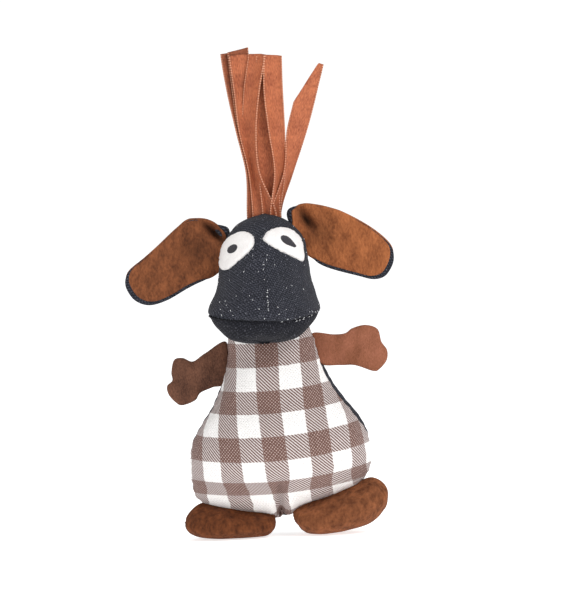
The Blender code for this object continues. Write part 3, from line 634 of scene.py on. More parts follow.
def seamed_columns(count, shift_right, shift_left):
    """Angles of a grid's columns, warped so that column 0 and the middle one lie on the side seams."""
    u = np.linspace(0.0, 2 * math.pi, count, endpoint=False)[None, :]
    right = (1 + np.cos(u)) / 2
    return u + shift_right[:, None] * right + shift_left[:, None] * (1 - right)


def closed_rings(grid):
    """A grid with its first column again at the end, so that each ring closes."""
    return np.concatenate([grid, grid[:, :1]], axis=1)


def seam_distance(points, columns):
    """Distance in millimetres from the nearest of some columns, along each ring."""
    closed = closed_rings(points)
    gone = run_length(closed, 1)
    whole, gone = gone[:, -1:], gone[:, :-1]
    away = np.full(gone.shape, 1e3)
    for column in columns:
        d = np.abs(gone - gone[:, column:column + 1])
        away = np.minimum(away, np.minimum(d, whole - d))
    return away


def pull_in(points, away, depth, width, pucker, pitch, along):
    """Sink a seam: a narrow groove, and puckers across it that fade over three pitches."""
    wave = np.sin(2 * math.pi * along / pitch + 1.3 * np.sin(along / (1.7 * pitch)))
    gathers = pucker * wave * np.exp(-away / pitch) * ramp(away, 0.0, 0.3 * pitch)
    sink = depth * bump(away, 0.0, width) + gathers
    return points - outward(points) * sink[..., None]


CHECK_COLUMN = -1.6           # middle of a brown column, right of the neck axis
CHECK_ROW = 61.3              # middle of a brown row, above the floor
COLUMN_SLANT = 0.09           # how far the columns move right for each millimetre below SLANT_BELOW
SLANT_BELOW = 61.0
ROW_CURVE = 0.0019            # how the rows rise with the square of the distance from ROW_LOWEST
ROW_LOWEST = -12.0            # right of the neck axis
HEM_ROWS = (14.0, 30.0)       # up the arc: rows follow the rings before the first, heights after the second


def gingham_uv(points, column_front):
    """Cloth coordinates of the front: across from the front line, up its arc less the rows' rise."""
    closed = closed_rings(points)
    gone = run_length(closed, 1)
    x, z = closed[..., 0] - NECK[0], closed[..., 2]
    front = points[:, column_front]
    across = gone - gone[:, column_front:column_front + 1] + (front[:, 0] - NECK[0] - CHECK_COLUMN)[:, None]
    across = across - COLUMN_SLANT * np.maximum(SLANT_BELOW - z, 0.0)
    height = run_length(points[:, column_front][:, None], 0)[:, 0]
    level = np.interp(CHECK_ROW, front[:, 2], height)
    order = np.argsort(front[:, 2])
    from_z = np.interp(z - ROW_CURVE * (x - ROW_LOWEST) ** 2, front[order, 2], height[order])
    low = ramp(height, *HEM_ROWS)[:, None]
    along = from_z * low + height[:, None] * (1 - low) - level
    return np.stack([across, along], axis=-1)


def plain_uv(points, middle):
    """Cloth coordinates by distance: around each ring from a middle column, and up each column."""
    closed = closed_rings(points)
    up = run_length(closed, 0)
    around = run_length(closed, 1)
    around = around - around[:, middle:middle + 1]
    return np.stack([around, up], axis=-1)


def make_body_pieces(gingham, denim):
    """Gingham front and denim back, sewn at the sides, puckered there and darted at the hem."""
    form = body_form()
    t = np.linspace(0.0, 1.0, BODY_RINGS)
    flank = ramp(t, 0.42, 0.52) * (1 - ramp(t, 0.66, 0.76))
    angle = seamed_columns(BODY_COLUMNS, -0.02 - 0.17 * flank, np.full(BODY_RINGS, 0.02))
    points = form.point(angle, np.repeat(t[:, None], BODY_COLUMNS, axis=1))
    left, front = BODY_COLUMNS // 2, 3 * BODY_COLUMNS // 4
    held = np.zeros(points.shape[:2])
    held[:, [0, left]] = 1.0
    held[[0, -1]] = 1.0
    held[t > 0.88] = 1.0
    points = filled_out("body_filling", points, held, BODY_RELIEF)
    uneven = 0.45 * lumps(points, 26.0, 3) + 0.18 * lumps(points, 9.0, 4)
    points = points + outward(points) * uneven[..., None]
    up = run_length(points, 0)
    away = seam_distance(points, (0, left))
    fade = (ramp(t, 0.03, 0.12) * (1 - ramp(t, 0.86, 0.95)))[:, None]
    points = pull_in(points, away, 0.9 * fade, 1.6, 0.42 * fade, 4.6, up)
    dart = np.abs(points[..., 0] - (NECK[0] + 2.0)) + 50.0 * (points[..., 1] > NECK[1])
    short = 1 - ramp(points[..., 2], 21.0, 31.0)
    sunk = 3.6 * bump(dart, 0.0, 1.3) - 1.2 * bump(dart, 4.0, 3.0)
    points = points - outward(points) * (sunk * short)[..., None]
    column = np.mgrid[0:BODY_RINGS - 1, 0:BODY_COLUMNS][1]
    start, end = [tuple((NECK + [0.0, 0.0, lift]) * MM) for lift in (-9.0, 1.0)]
    for name, cells, material, uv, nodes, finish in (
        ("body_front_cover", column >= left, gingham, gingham_uv(points, front),
         ("body_front_panel", "body_stuffing"), "gingham_cotton"),
        ("body_back_cover", column < left, denim, plain_uv(points, left // 2),
         ("body_back_panel",), "dark_denim"),
    ):
        mesh = cloth_mesh(name, points, uv, cells=cells)
        obj = piece(name, mesh, material, wall=CLOTH_WALL, fine=1)
        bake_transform(obj)
        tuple(start)
        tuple(end)
        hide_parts(*nodes)
    stitching = frame["nodes"]["neck_stitching"].data
    stitching.materials.clear()
    stitching.materials.append(sewing_thread("neck_sewing_thread", "24242B", "4A4A55"))


# ---- head ----
HEAD_RINGS, HEAD_COLUMNS = 96, 112
MOUTH_T = 0.335               # ring of the mouth seam at the sides
DART_THREADS, MOUTH_THREADS, CHEEK_THREADS = 34, 40, 60


def mouth_share(angle):
    """Ring of the mouth seam: lower at the front, higher at the back, dipping right of the nose."""
    return MOUTH_T + 0.085 * np.sin(angle) - 0.022 * bump(angle, 1.5 * math.pi + 0.6, 0.4)


def make_head_pieces(denim, thread):
    """Face, chin and back, with a mouth seam, side seams and a nose dart."""
    form = head_form()
    s = np.linspace(0.0, 1.0, HEAD_RINGS)
    seam_row = int(round(MOUTH_T * (HEAD_RINGS - 1)))
    rings = between_rows(form.rows, s)
    side = np.arcsin(np.clip((NECK[1] - rings[:, 2]) / np.maximum(rings[:, 3], 1e-6), -0.6, 0.6))
    side = side * ramp(s, 0.2, 0.36) * (1 - ramp(s, 0.93, 1.0))
    angle = seamed_columns(HEAD_COLUMNS, side, -side)
    share = np.where(s < s[seam_row], s / s[seam_row], (1 - s) / (1 - s[seam_row]))[:, None]
    t = s[:, None] + (mouth_share(angle) - s[seam_row]) * share
    points = form.point(angle, t)
    left, nose = HEAD_COLUMNS // 2, 3 * HEAD_COLUMNS // 4
    held = np.zeros(points.shape[:2])
    held[seam_row:, [0, left]] = 1.0
    held[[0, seam_row, -1]] = 1.0
    points = filled_out("head_filling", points, held, HEAD_RELIEF)
    uneven = 0.4 * lumps(points, 20.0, 7) + 0.15 * lumps(points, 8.0, 8)
    points = points + outward(points) * uneven[..., None]
    up = run_length(points, 0)
    around = run_length(points, 1)
    below = up - up[seam_row:seam_row + 1]
    frontal = np.clip(-np.sin(angle), 0.0, 1.0)
    lip = np.where(below > 0, 0.7 * bump(below, 3.2, 3.0), -0.35 * bump(below, -1.0, 4.5))
    mouth = np.abs(below)
    jowl = 0.5 * bump(below, 4.5, 4.0) - 0.9 * bump(below, 0.0, 2.2) + 0.7 * bump(below, -4.5, 3.5)
    jowl = jowl * np.clip(-np.cos(angle), 0.0, 1.0)
    groove = 0.8 * bump(mouth, 0.0, 1.1) * np.clip(frontal + 0.1, 0.0, 1.0)
    points = points + outward(points) * (jowl + lip * frontal - groove)[..., None]
    wave = np.sin(2 * math.pi * around / 4.6 + 1.1 * np.sin(around / 7.0))
    pucker = 0.22 * wave * np.exp(-mouth / 4.0) * ramp(mouth, 0.0, 1.5)
    points = points + outward(points) * pucker[..., None]
    away = seam_distance(points, (0, left))
    upper = ramp(below, 0.0, 6.0) * (1 - ramp(s, 0.9, 1.0))[:, None]
    points = pull_in(points, away, 0.8 * upper, 1.4, 0.3 * upper, 4.8, up)
    nose_x = points[:, nose:nose + 1, 0]
    beside = np.abs(points[..., 0] - nose_x) + 60.0 * (points[..., 1] > NECK[1])
    dart = ramp(below, 0.0, 3.0) * (1 - ramp(below, 17.0, 25.0))
    crease = (0.6 * bump(beside, 4.5, 4.0) - 1.0 * bump(beside, 0.0, 1.0)) * dart
    points = points + outward(points) * crease[..., None]
    row, column = np.mgrid[0:HEAD_RINGS - 1, 0:HEAD_COLUMNS]
    above = row >= seam_row
    for name, cells, middle, node, more in (
        ("face_cover", above & (column >= left), nose, "face_panel", ("head_stuffing",)),
        ("chin_cover", ~above, nose, "chin_panel", ()),
        ("head_back_cover", above & (column < left), left // 2, "head_back_panel", ()),
    ):
        uv = plain_uv(points, middle)
        # The chin takes the darker denim, which is painted shade under the muzzle.
        material = denim["chin"] if name == "chin_cover" else denim["head"]
        obj = piece(name, cloth_mesh(name, points, uv, cells=cells), material, "head", CLOTH_WALL, fine=1)
        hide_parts(node, *more)
    make_flecks(points, outward(points), seam_row, nose, up, thread)


def thread_ends(starts, ways, normals, lengths, radius):
    """Short thread ends as one mesh: each is a six-sided spindle along its way, thick in the middle."""
    rings, sides = 5, 6
    s = np.linspace(-1.0, 1.0, rings)
    a = np.linspace(0.0, 2 * math.pi, sides, endpoint=False)
    side = np.cross(ways, normals)
    thick = radius * np.sqrt(np.clip(1.02 - s * s, 0.0, 1.0))
    arch = (1 - s * s)[None, :, None, None]
    reach = s[None, :, None, None] * lengths[:, None, None, None] / 2
    centre = starts[:, None, None] + ways[:, None, None] * reach
    centre = centre + normals[:, None, None] * arch * radius
    ring = (side[:, None, None] * np.cos(a)[None, None, :, None]
            + normals[:, None, None] * np.sin(a)[None, None, :, None])
    verts = centre + ring * thick[None, :, None, None]
    count = len(starts)
    index = np.arange(count * rings * sides).reshape(count, rings, sides)
    near, far = index[:, :-1], index[:, 1:]
    quads = np.stack([near, far, np.roll(far, -1, axis=2), np.roll(near, -1, axis=2)], axis=-1).reshape(-1, 4)
    caps = index[:, 0].tolist() + index[:, -1, ::-1].tolist()
    mesh = bpy.data.meshes.new("thread_ends")
    mesh.from_pydata((verts.reshape(-1, 3) * MM).tolist(), [], quads.tolist() + caps)
    mesh.shade_smooth()
    return mesh


def make_flecks(points, normals, seam_row, nose, up, thread):
    """White thread ends left standing along the nose dart, the mouth seam's right half and the cheeks."""
    rng = np.random.default_rng(21)
    picks = []
    for _ in range(DART_THREADS):
        row = seam_row + 2 + int(rng.triangular(0, 4, 34))
        picks.append((row, nose + int(rng.integers(0, 2)), 1.0, 0.3))
    for _ in range(MOUTH_THREADS):
        column = nose + int(rng.triangular(2, 18, 27))
        picks.append((seam_row + int(rng.integers(-2, 3)), column % HEAD_COLUMNS, 0.25, 1.0))
    for _ in range(CHEEK_THREADS):
        picks.append((seam_row + int(rng.integers(3, 52)), nose + int(rng.integers(-24, 25)),
                      rng.uniform(-1, 1), rng.uniform(-1, 1)))
    rows, cols = np.array([p[:2] for p in picks]).T
    rows = np.clip(rows, 1, len(points) - 2)
    cols = cols % points.shape[1]
    upward = points[rows + 1, cols] - points[rows - 1, cols]
    across = points[rows, (cols + 1) % points.shape[1]] - points[rows, cols - 1]
    upward /= np.linalg.norm(upward, axis=1, keepdims=True)
    across /= np.linalg.norm(across, axis=1, keepdims=True)
    lean = np.array([p[2:] for p in picks])
    ways = upward * lean[:, :1] + across * lean[:, 1:]
    ways /= np.linalg.norm(ways, axis=1, keepdims=True)
    n = normals[rows, cols]
    starts = points[rows, cols] + across * rng.uniform(-0.3, 0.3, (len(rows), 1)) + n * 0.05
    mesh = thread_ends(starts, ways, n, rng.uniform(0.25, 0.95, len(rows)), 0.12)
    obj = piece("seam_thread_ends", mesh, thread, "head")


# ---- eyes ----
AHEAD = -200.0                # a place well in front of the face
HEAD_INSIDE = 12.0            # how far the head's inside is in front of the neck axis


def on_face(tree, x, z, lift):
    """Points x, z carried back to the face, or to its nearest place, then lifted along its normal."""
    placed = np.zeros(x.shape + (3,))
    for at in np.ndindex(x.shape):
        spot, normal, _, _ = tree.ray_cast(Vector((x[at], AHEAD, z[at])) * MM, Vector((0, 1, 0)))
        if spot is None:
            spot, normal, _, _ = tree.find_nearest(Vector((x[at], NECK[1] - HEAD_INSIDE, z[at])) * MM)
        placed[at] = np.array(spot) / MM + np.array(normal) * lift[at]
    return placed


def felt_patch(name, tree, middle, outline, thick, lift, fuzz, seed):
    """A patch on the face: a dome over its outline, whose height falls to the face at the rim."""
    rings, spokes = 11, 96
    edge = closed_curve(outline, spokes)
    rng = np.random.default_rng(seed)
    reach = np.maximum(np.linalg.norm(edge, axis=1, keepdims=True), 1.0)
    rough = 1 + fuzz * rng.normal(size=(spokes, 1)) / reach
    s = np.linspace(0.0, 1.0, rings)[:, None, None] ** 0.8
    centre = edge.mean(axis=0)
    flat = centre + (edge * rough - centre) * s
    height = lift + thick * np.clip(1 - s[..., 0] ** 6, 0.0, 1.0) ** 0.5 - 0.25 * (s[..., 0] >= 1.0)
    height = np.broadcast_to(height, flat.shape[:2])
    points = on_face(tree, middle[0] + flat[..., 0], middle[2] + flat[..., 1], height)
    return cloth_mesh(name, points, closed_rings(flat), poles=(True, False), flip=True)


def oval(spec, point):
    """Ellipse round a middle, tilted, with its far end drawn out to a point by the given share."""
    right, up, long, wide, tilt = spec
    a = np.linspace(0.0, 2 * math.pi, 14, endpoint=False)
    x = long * np.cos(a) * (1 + point * (np.cos(a) > 0.8))
    y = wide * np.sin(a) * (1 - 0.35 * point * np.cos(a))
    turn = math.radians(tilt)
    return np.stack([right + x * math.cos(turn) - y * math.sin(turn),
                     up + x * math.sin(turn) + y * math.cos(turn)], axis=-1)


def make_eye_pieces(felt, thread):
    """White felt eyes and dark stitched pupils, laid on the face."""
    graph = bpy.context.evaluated_depsgraph_get()
    tree = BVHTree.FromObject(bpy.data.objects["face_cover"], graph)
    for side, outline, pupil, point in (
        ("left", EYE_LEFT_OUTLINE, PUPIL_LEFT, 0.0),
        ("right", EYE_RIGHT_OUTLINE, PUPIL_RIGHT, 0.3),
    ):
        low, high = extent(f"eye_{side}_white")
        middle = (low + high) / 2
        white = felt_patch(f"eye_{side}_felt", tree, middle, outline, 0.75, 0.1, 0.1, 31)
        dark = felt_patch(f"eye_{side}_stitches", tree, middle, oval(pupil, point), 0.45, 0.8, 0.05, 32)
        for mesh, node, material, finish in (
            (white, f"eye_{side}_white", felt, "white_felt"),
            (dark, f"eye_{side}_pupil", thread, "dark_thread"),
        ):
            obj = piece(mesh.name, mesh, material, "head", wall=0.3)
            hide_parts(node)


# ---- ears ----
EAR_RINGS, EAR_SPOKES = 40, 144
EAR_WALL = 0.7


def ear_depth(out, up, length, fold):
    """How far an ear stands forward: edges curl up, the root folds to a lip with a hollow behind it. Also a 0
    to 1 mark of the hollow and the dip, where shade is painted.
    """
    a = out * length
    cup = 3.6 * np.abs(2 * up - 1.0) ** 2.4 * (1 - 0.75 * out ** 3) * ramp(out, -0.03, 0.25)
    lip = 3.4 * bump(a, -0.5, 2.6) * ramp(up, 0.25, 0.7)
    hollow_and_shade = bump(a - fold[0] - fold[1] * (up - 0.8), 0.0, 2.3) * bump(up, 0.8, 0.13)
    dip = bump(a, 12.0, 8.0) * bump(up, 0.62, 0.22)
    tip = 3.0 * out * out
    return cup + lip - 4.5 * hollow_and_shade - 1.8 * dip + tip, np.clip(0.85 * hollow_and_shade + 0.4 * dip, 0.0, 1.0)


def make_ear_pieces(side, sign, outline, velour, denim):
    """Velour lining in front and denim behind, cut to one outline and rolled together at the edge."""
    low, high = extent(f"ear_{side}_back")
    size = high - low
    root_x = low[0] if sign > 0 else high[0]
    edge = closed_curve(outline, EAR_SPOKES)
    centre = np.array([0.45, 0.48])
    s = np.linspace(0.0, 1.0, EAR_RINGS)[:, None, None] ** 0.85
    share = centre + (edge - centre) * s
    front_y = (low[1] + high[1]) / 2 + 1.0
    ring = s[..., 0]
    under = ramp(0.5 - share[-1:, :, 1], 0.0, 0.35)
    flip = sign < 0
    # where the denim shows at the root's top: how high, the lining's cut there, the denim's reach
    wedge = (0.80, 0.8, 4.2) if sign < 0 else (0.85, 3.0, 3.2)
    # where its hollow runs: out from the root, and how that changes with height
    fold = (3.6, 38.0) if sign < 0 else (5.8, -19.0)
    reach = np.linalg.norm((edge - centre) * [size[0], size[2]], axis=1)[None, :]
    root = 1 - ramp(edge[None, :, 0], 0.04, 0.24)
    corner = bump(edge[None, :, 0], 0.01, 0.09) * bump(edge[None, :, 1], wedge[0], 0.15)
    for part, grow, roll, base, material, finish in (
        ("lining", 0.1 - 0.7 * under, -0.9, -0.5, velour, "brown_velour"),
        ("back", -0.5 + 0.6 * under, 0.5 * under, 0.6, denim, "dark_denim"),
    ):
        behind = part == "back"
        grow = grow + (wedge[2] * corner - 1.2 * root if behind else 0.6 * root - wedge[1] * corner)
        flat = centre + (edge - centre) * (1 + grow / reach)[..., None] * s
        out, up = flat[..., 0], flat[..., 1]
        forward, hollow_and_shade = ear_depth(out, up, size[0], fold)
        forward = forward + roll * (1 - root) * ramp(ring, 0.86, 1.0) ** 2
        if behind:
            forward = forward - 1.8 * hollow_and_shade - 1.0 * (1 - ramp(out, 0.0, 0.25)) * (1 - corner)
        x = root_x + sign * out * size[0]
        z = low[2] + up * size[2]
        plane = np.stack([x, z], axis=-1)
        forward = forward + 0.4 * lumps(plane, 13.0, 41) + 0.2 * lumps(plane, 5.0, 42)
        points = np.stack([x, front_y + base - forward, z], axis=-1)
        name = f"ear_{side}_{part}_cloth"
        facing = flip if part == "lining" else not flip
        uv = closed_rings(plane)
        # The hollow mark tells the velour where to paint shade, in the hollow and the dip.
        mesh = cloth_mesh(name, points, uv, {"hollow_and_shade": hollow_and_shade}, poles=(True, False), flip=facing)
        obj = piece(name, mesh, material, f"ear_{side}", EAR_WALL)
        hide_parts(f"ear_{side}_{part}")


# ---- arms ----
ARM_WALL = 0.9


def make_arm_pieces(side, sign, outline, suede):
    """Two suede layers cut to one outline, slightly filled, sewn at the edge."""
    low, high = extent(f"arm_{side}_front", f"arm_{side}_back")
    root = hinge(f"arm_{side}_swing")
    length = (high[0] - root[0]) if sign > 0 else (root[0] - low[0])
    edge = closed_curve(outline, 120) * length
    centre = np.array([0.45, -0.2 if sign < 0 else -0.02]) * length
    s = np.linspace(0.0, 1.0, 22)[:, None, None] ** 0.85
    flat = centre + (edge - centre) * s
    plane = np.stack([root[0] + sign * flat[..., 0], root[2] + flat[..., 1]], axis=-1)
    puff = 1.5 * np.sqrt(np.clip(1 - s[..., 0] ** 3, 0.0, 1.0)) + 0.25 * lumps(plane, 6.0, 52)
    bend = 0.5 * lumps(plane, 17.0, 51)
    flip = sign < 0
    for part, way in (("front", -1.0), ("back", 1.0)):
        y = root[1] + bend + way * (0.25 + puff)
        points = np.stack([plane[..., 0], np.broadcast_to(y, plane.shape[:2]), plane[..., 1]], axis=-1)
        name = f"arm_{side}_{part}_suede"
        facing = flip if way < 0 else not flip
        mesh = cloth_mesh(name, points, closed_rings(plane), poles=(True, False), flip=facing)
        obj = piece(name, mesh, suede, f"arm_{side}", ARM_WALL)
        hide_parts(f"arm_{side}_{part}")


# ---- feet ----
FOOT_RINGS, FOOT_COLUMNS = 40, 56
FOOT_TAPER = 0.5
# share along the foot, lowest point, top, depth, as shares of the foot's box
FOOT_LEFT_ROWS = (
    (0.000, 0.50, 0.50, 0.00), (0.015, 0.34, 0.68, 0.40), (0.09, 0.14, 0.92, 0.68), (0.24, 0.01, 1.06, 0.90),
    (0.46, -0.02, 1.02, 1.00), (0.68, -0.01, 0.94, 1.00), (0.87, 0.05, 0.86, 0.88), (0.98, 0.18, 0.78, 0.60),
    (1.000, 0.45, 0.45, 0.00),
)
FOOT_RIGHT_ROWS = (
    (0.000, 0.38, 0.38, 0.00), (0.03, 0.22, 0.55, 0.44), (0.12, 0.04, 0.64, 0.74), (0.28, -0.01, 0.72, 0.96),
    (0.47, 0.02, 0.84, 1.00), (0.66, 0.10, 0.97, 0.92), (0.84, 0.24, 1.06, 0.74), (0.97, 0.46, 0.92, 0.46),
    (1.000, 0.68, 0.68, 0.00),
)


def make_foot_pieces(side, rows, velour):
    """A velour pad under the hem: rings across it from end to end, flat on the floor, narrower above."""
    low, high = extent(f"foot_{side}_upper", f"foot_{side}_sole")
    size = high - low
    t = np.linspace(0.0, 1.0, FOOT_RINGS)
    t = t - 0.08 * np.sin(2 * math.pi * t)
    around = np.linspace(0.0, 2 * math.pi, FOOT_COLUMNS, endpoint=False)[None, :]
    x, base, top, deep = between_rows(np.array(rows), t).T[..., None]
    c, s = np.cos(around), np.sin(around)
    waist = base + 0.36 * (top - base)
    z = waist + np.where(s > 0, (top - waist) * s, (waist - base) * s)
    depth = deep * size[1] / 2
    y = (low[1] + high[1]) / 2 + depth * c * (1 - FOOT_TAPER * np.maximum(s, 0.0) ** 2)
    points = np.stack([
        low[0] + size[0] * np.broadcast_to(x, y.shape), y, low[2] + size[2] * z,
    ], axis=-1)
    held = np.zeros(points.shape[:2])
    held[[0, -1]] = 1.0
    held[:, 0] = 1.0
    points = filled_out(f"foot_{side}_filling", points, held, FOOT_RELIEF)
    uneven = 0.5 * lumps(points, 12.0, 61) + 0.2 * lumps(points, 5.0, 62)
    points = points + outward(points) * uneven[..., None]
    floor = low[2] + 0.02
    points[..., 2] = np.where(points[..., 2] < floor + 1.2,
                              floor + 1.2 * np.exp((points[..., 2] - floor - 1.2) / 1.2), points[..., 2])
    points[..., 2] = np.maximum(points[..., 2], floor)
    column = np.mgrid[0:FOOT_RINGS - 1, 0:FOOT_COLUMNS][1]
    below = column >= FOOT_COLUMNS // 2
    for name, cells, nodes in (
        (f"foot_{side}_upper_velour", ~below, (f"foot_{side}_upper", f"foot_{side}_stuffing")),
        (f"foot_{side}_sole_velour", below, (f"foot_{side}_sole",)),
    ):
        mesh = cloth_mesh(name, points, plain_uv(points, 0), cells=cells)
        obj = piece(name, mesh, velour, f"foot_{side}", CLOTH_WALL, fine=1)
        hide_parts(*nodes)


# ---- ribbons ----
RIBBON_WIDTH = 10.0
RIBBON_WALL = 0.35
# for each ribbon: five middles and half widths from the crown up, right of the neck axis;
# then how high its cut is at the left, past the middle and at the right; its place in depth, turn and fold
RIBBONS = {
    "ribbon_1": (((-3.2, 4.4), (-3.6, 3.6), (-7.2, 3.6), (-10.4, 3.8), (-12.6, 3.8)), (72.4, 73.1, 73.4),
                 2.2, 0.8, 0.2),
    "ribbon_2": (((-2.0, 4.6), (-3.5, 3.4), (-6.0, 4.2), (-7.4, 4.6), (-8.6, 4.7)), (73.0, 74.4, 75.0),
                 1.2, 0.3, 0.3),
    "ribbon_3": (((-0.4, 4.8), (-2.7, 3.3), (-5.4, 4.2), (-6.6, 4.5), (-8.1, 4.7)), (71.4, 71.9, 71.5),
                 0.2, 0.3, 0.5),
    "ribbon_4": (((0.9, 4.6), (-3.6, 2.3), (-5.0, 3.0), (-3.2, 3.5), (0.2, 3.8)), (71.9, 71.7, 71.2),
                 -1.9, -0.7, 0.5),
    "ribbon_5": (((3.4, 4.0), (2.9, 4.6), (2.4, 4.8), (3.6, 4.8), (4.6, 4.8)), (70.6, 70.6, 70.2),
                 -0.4, 0.4, 0.4),
    "ribbon_6": (((5.2, 2.2), (8.0, 2.3), (7.4, 3.6), (6.6, 4.2), (7.1, 3.9)), (71.2, 70.8, 70.4),
                 -2.4, 0.5, 0.5),
    "ribbon_strand": (((5.6, 2.2), (12.1, 2.2), (16.6, 4.6), (22.0, 4.8), (26.6, 4.8)), (49.5, 66.6, 65.8),
                      1.4, 0.5, 0.3),
}
TUCKED = 4.0                  # how far a ribbon's foot goes into the head
RIBBON_REACH = 74.0           # height that the five middles are spread over
CUT_PLACES = (-1.0, 0.45, 1.0)   # where across the ribbon its three cut heights are


def make_ribbon_piece(name, spec, body, material):
    """A strip along its middles: width shared between x and y so that it stays one width, cut aslant."""
    middles, cut, layer, turn, fold = spec
    rows = np.array(middles)
    v = np.linspace(0.0, 1.0, 90)[:, None]
    a = np.linspace(-1.0, 1.0, 13)[None, :]
    height = v * (np.interp(a, CUT_PLACES, cut) + TUCKED) - TUCKED
    middle, half = between_rows(rows, height / RIBBON_REACH).transpose(2, 0, 1)
    half = np.minimum(half, RIBBON_WIDTH / 2)
    spare = np.sqrt(np.maximum((RIBBON_WIDTH / 2) ** 2 - half ** 2, 0.0))
    x = NECK[0] + middle + a * half
    y = NECK[1] + layer * (0.5 + 0.9 * v) + spare * (turn * a + fold * (1 - a * a))
    z = CROWN[2] + height - 0.4
    points = np.stack([x, y, z], axis=-1)
    sway = 0.25 * lumps(np.stack([z / 2.5, x], axis=-1), 9.0, 70 + len(name) + int(layer * 10))
    points[..., 1] += sway * ramp(v, 0.0, 0.2)
    uv = np.stack([np.broadcast_to(a * RIBBON_WIDTH / 2, x.shape), height], axis=-1)
    mesh = cloth_mesh(f"{name}_satin", points, uv, wrap=False, poles=(False, False))
    obj = piece(f"{name}_satin", mesh, material, body, RIBBON_WALL)
    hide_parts(name)


# ---- stage ----
VIEW_TALL = 270.0             # millimetres of the toy's plane that the picture is high
SENSOR = 36.0
CAMERA_AWAY = 1.8
CAMERA_LIFT = 2.0             # degrees above level
CAMERA_ROLL = 2.5             # degrees that the toy leans to the left in the picture
AIM = (7.5, 106.0)            # picture's middle, right of the neck axis and above the floor


def area_light(name, place, aim, size, power):
    """A square soft box that looks at a point."""
    lamp = bpy.data.lights.new(name, "AREA")
    lamp.shape = "SQUARE"
    lamp.size = size
    lamp.energy = power
    obj = bpy.data.objects.new(name, lamp)
    bpy.context.scene.collection.objects.link(obj)
    obj.location = place
    obj.rotation_euler = (Vector(aim) - Vector(place)).to_track_quat("-Z", "Y").to_euler()


def make_stage(floor_code):
    """White floor and surroundings, three soft boxes and the camera."""
    scene = bpy.context.scene
    scene.view_settings.view_transform = "Standard"
    reach = 6.0
    mesh = bpy.data.meshes.new("studio_floor")
    mesh.from_pydata([(-reach, -reach, 0), (reach, -reach, 0), (reach, reach, 0), (-reach, reach, 0)], [],
                     [(0, 1, 2, 3)])
    mat, tree, shader = finish_of("white_studio_paper", roughness=0.95, specular=0.05)
    paper = speckle(tree, object_place(tree), 40.0, 0.3, 0.7)
    tree.links.new(mix_of(tree, paper, linear(floor_code), linear("FAFAFA")), shader.inputs["Base Color"])
    shader.inputs["Emission Color"].default_value = (1.0, 1.0, 1.0, 1.0)
    shader.inputs["Emission Strength"].default_value = 0.7
    floor = piece("studio_floor", mesh, mat)
    world = bpy.data.worlds.new("white_room")
    scene.world = world
    world.use_nodes = True
    tree = world.node_tree
    room = tree.nodes["Background"]
    ray = add_node(tree, "ShaderNodeLightPath", output="Is Camera Ray")
    strength = math_of(tree, "MULTIPLY_ADD", ray, 0.55, 0.5)
    room.inputs["Color"].default_value = (1.0, 1.0, 1.0, 1.0)
    tree.links.new(strength, room.inputs["Strength"])
    aim = (NECK[0] * MM, NECK[1] * MM, 0.11)
    area_light("key_soft_box", (0.75, -0.95, 0.95), aim, 0.7, 11.0)
    area_light("fill_soft_box", (-0.9, -0.8, 0.55), aim, 0.9, 2.6)
    area_light("top_soft_box", (0.0, 0.35, 1.2), aim, 0.9, 4.2)
    camera = bpy.data.cameras.new("front_camera")
    camera.sensor_width = SENSOR
    camera.lens = SENSOR * CAMERA_AWAY / (VIEW_TALL * MM)
    camera.clip_end = 50.0
    obj = bpy.data.objects.new("front_camera", camera)
    scene.collection.objects.link(obj)
    lift, roll = math.radians(CAMERA_LIFT), math.radians(CAMERA_ROLL)
    target = Vector(((NECK[0] + AIM[0]) * MM, NECK[1] * MM, AIM[1] * MM))
    back = Vector((0.0, -math.cos(lift), math.sin(lift)))
    upright = math.cos(roll)
    up = Vector((math.sin(roll), math.sin(lift) * upright, math.cos(lift) * upright)).normalized()
    right = up.cross(back).normalized()
    turn = Matrix((right, up, back)).transposed()
    obj.matrix_world = Matrix.Translation(target + back * CAMERA_AWAY) @ turn.to_4x4()
    scene.camera = obj


# ---- the add-on ----
class FabricAnimalColours(bpy.types.PropertyGroup):
    """Colours that a user would change, as sRGB hex codes."""

    gingham_brown: StringProperty(name="Gingham brown", description="Dark checks", default="664A42")
    gingham_white: StringProperty(name="Gingham white", description="Pale checks", default="F4F2F0")
    denim_base: StringProperty(name="Denim", description="Darkest tone of the denim", default="17181D")
    denim_ridge: StringProperty(name="Denim ridge", description="Tone of the denim's ribs", default="43454F")
    # The left ear, arm and foot are darker than the right ones: partly the pile lying another way, partly
    # painted shade, as the light falls from the right.
    ear_left: StringProperty(name="Left ear", description="Velour of the left ear", default="8E5535")
    ear_right: StringProperty(name="Right ear", description="Velour of the right ear", default="AA673E")
    arm_left: StringProperty(name="Left arm", description="Suede of the left arm", default="7A5341")
    arm_right: StringProperty(name="Right arm", description="Suede of the right arm", default="99614B")
    foot_left: StringProperty(name="Left foot", description="Velour of the left foot", default="784427")
    foot_right: StringProperty(name="Right foot", description="Velour of the right foot", default="905838")
    ribbon: StringProperty(name="Ribbon", description="Face of the satin", default="BF6F49")
    floor: StringProperty(name="Floor", description="Studio paper", default="F2F2F2")


class FABRICANIMAL_OT_body(bpy.types.Operator):
    """Build the body's gingham front and denim back."""

    bl_idname = "fabric_animal.body"
    bl_label = "Body"

    def execute(self, context):
        hues = context.scene.fabric_animal
        make_body_pieces(woven_gingham(linear(hues.gingham_brown), linear(hues.gingham_white)),
                         dark_denim("body_back_denim", hues.denim_base, hues.denim_ridge, 0.6))
        return {"FINISHED"}


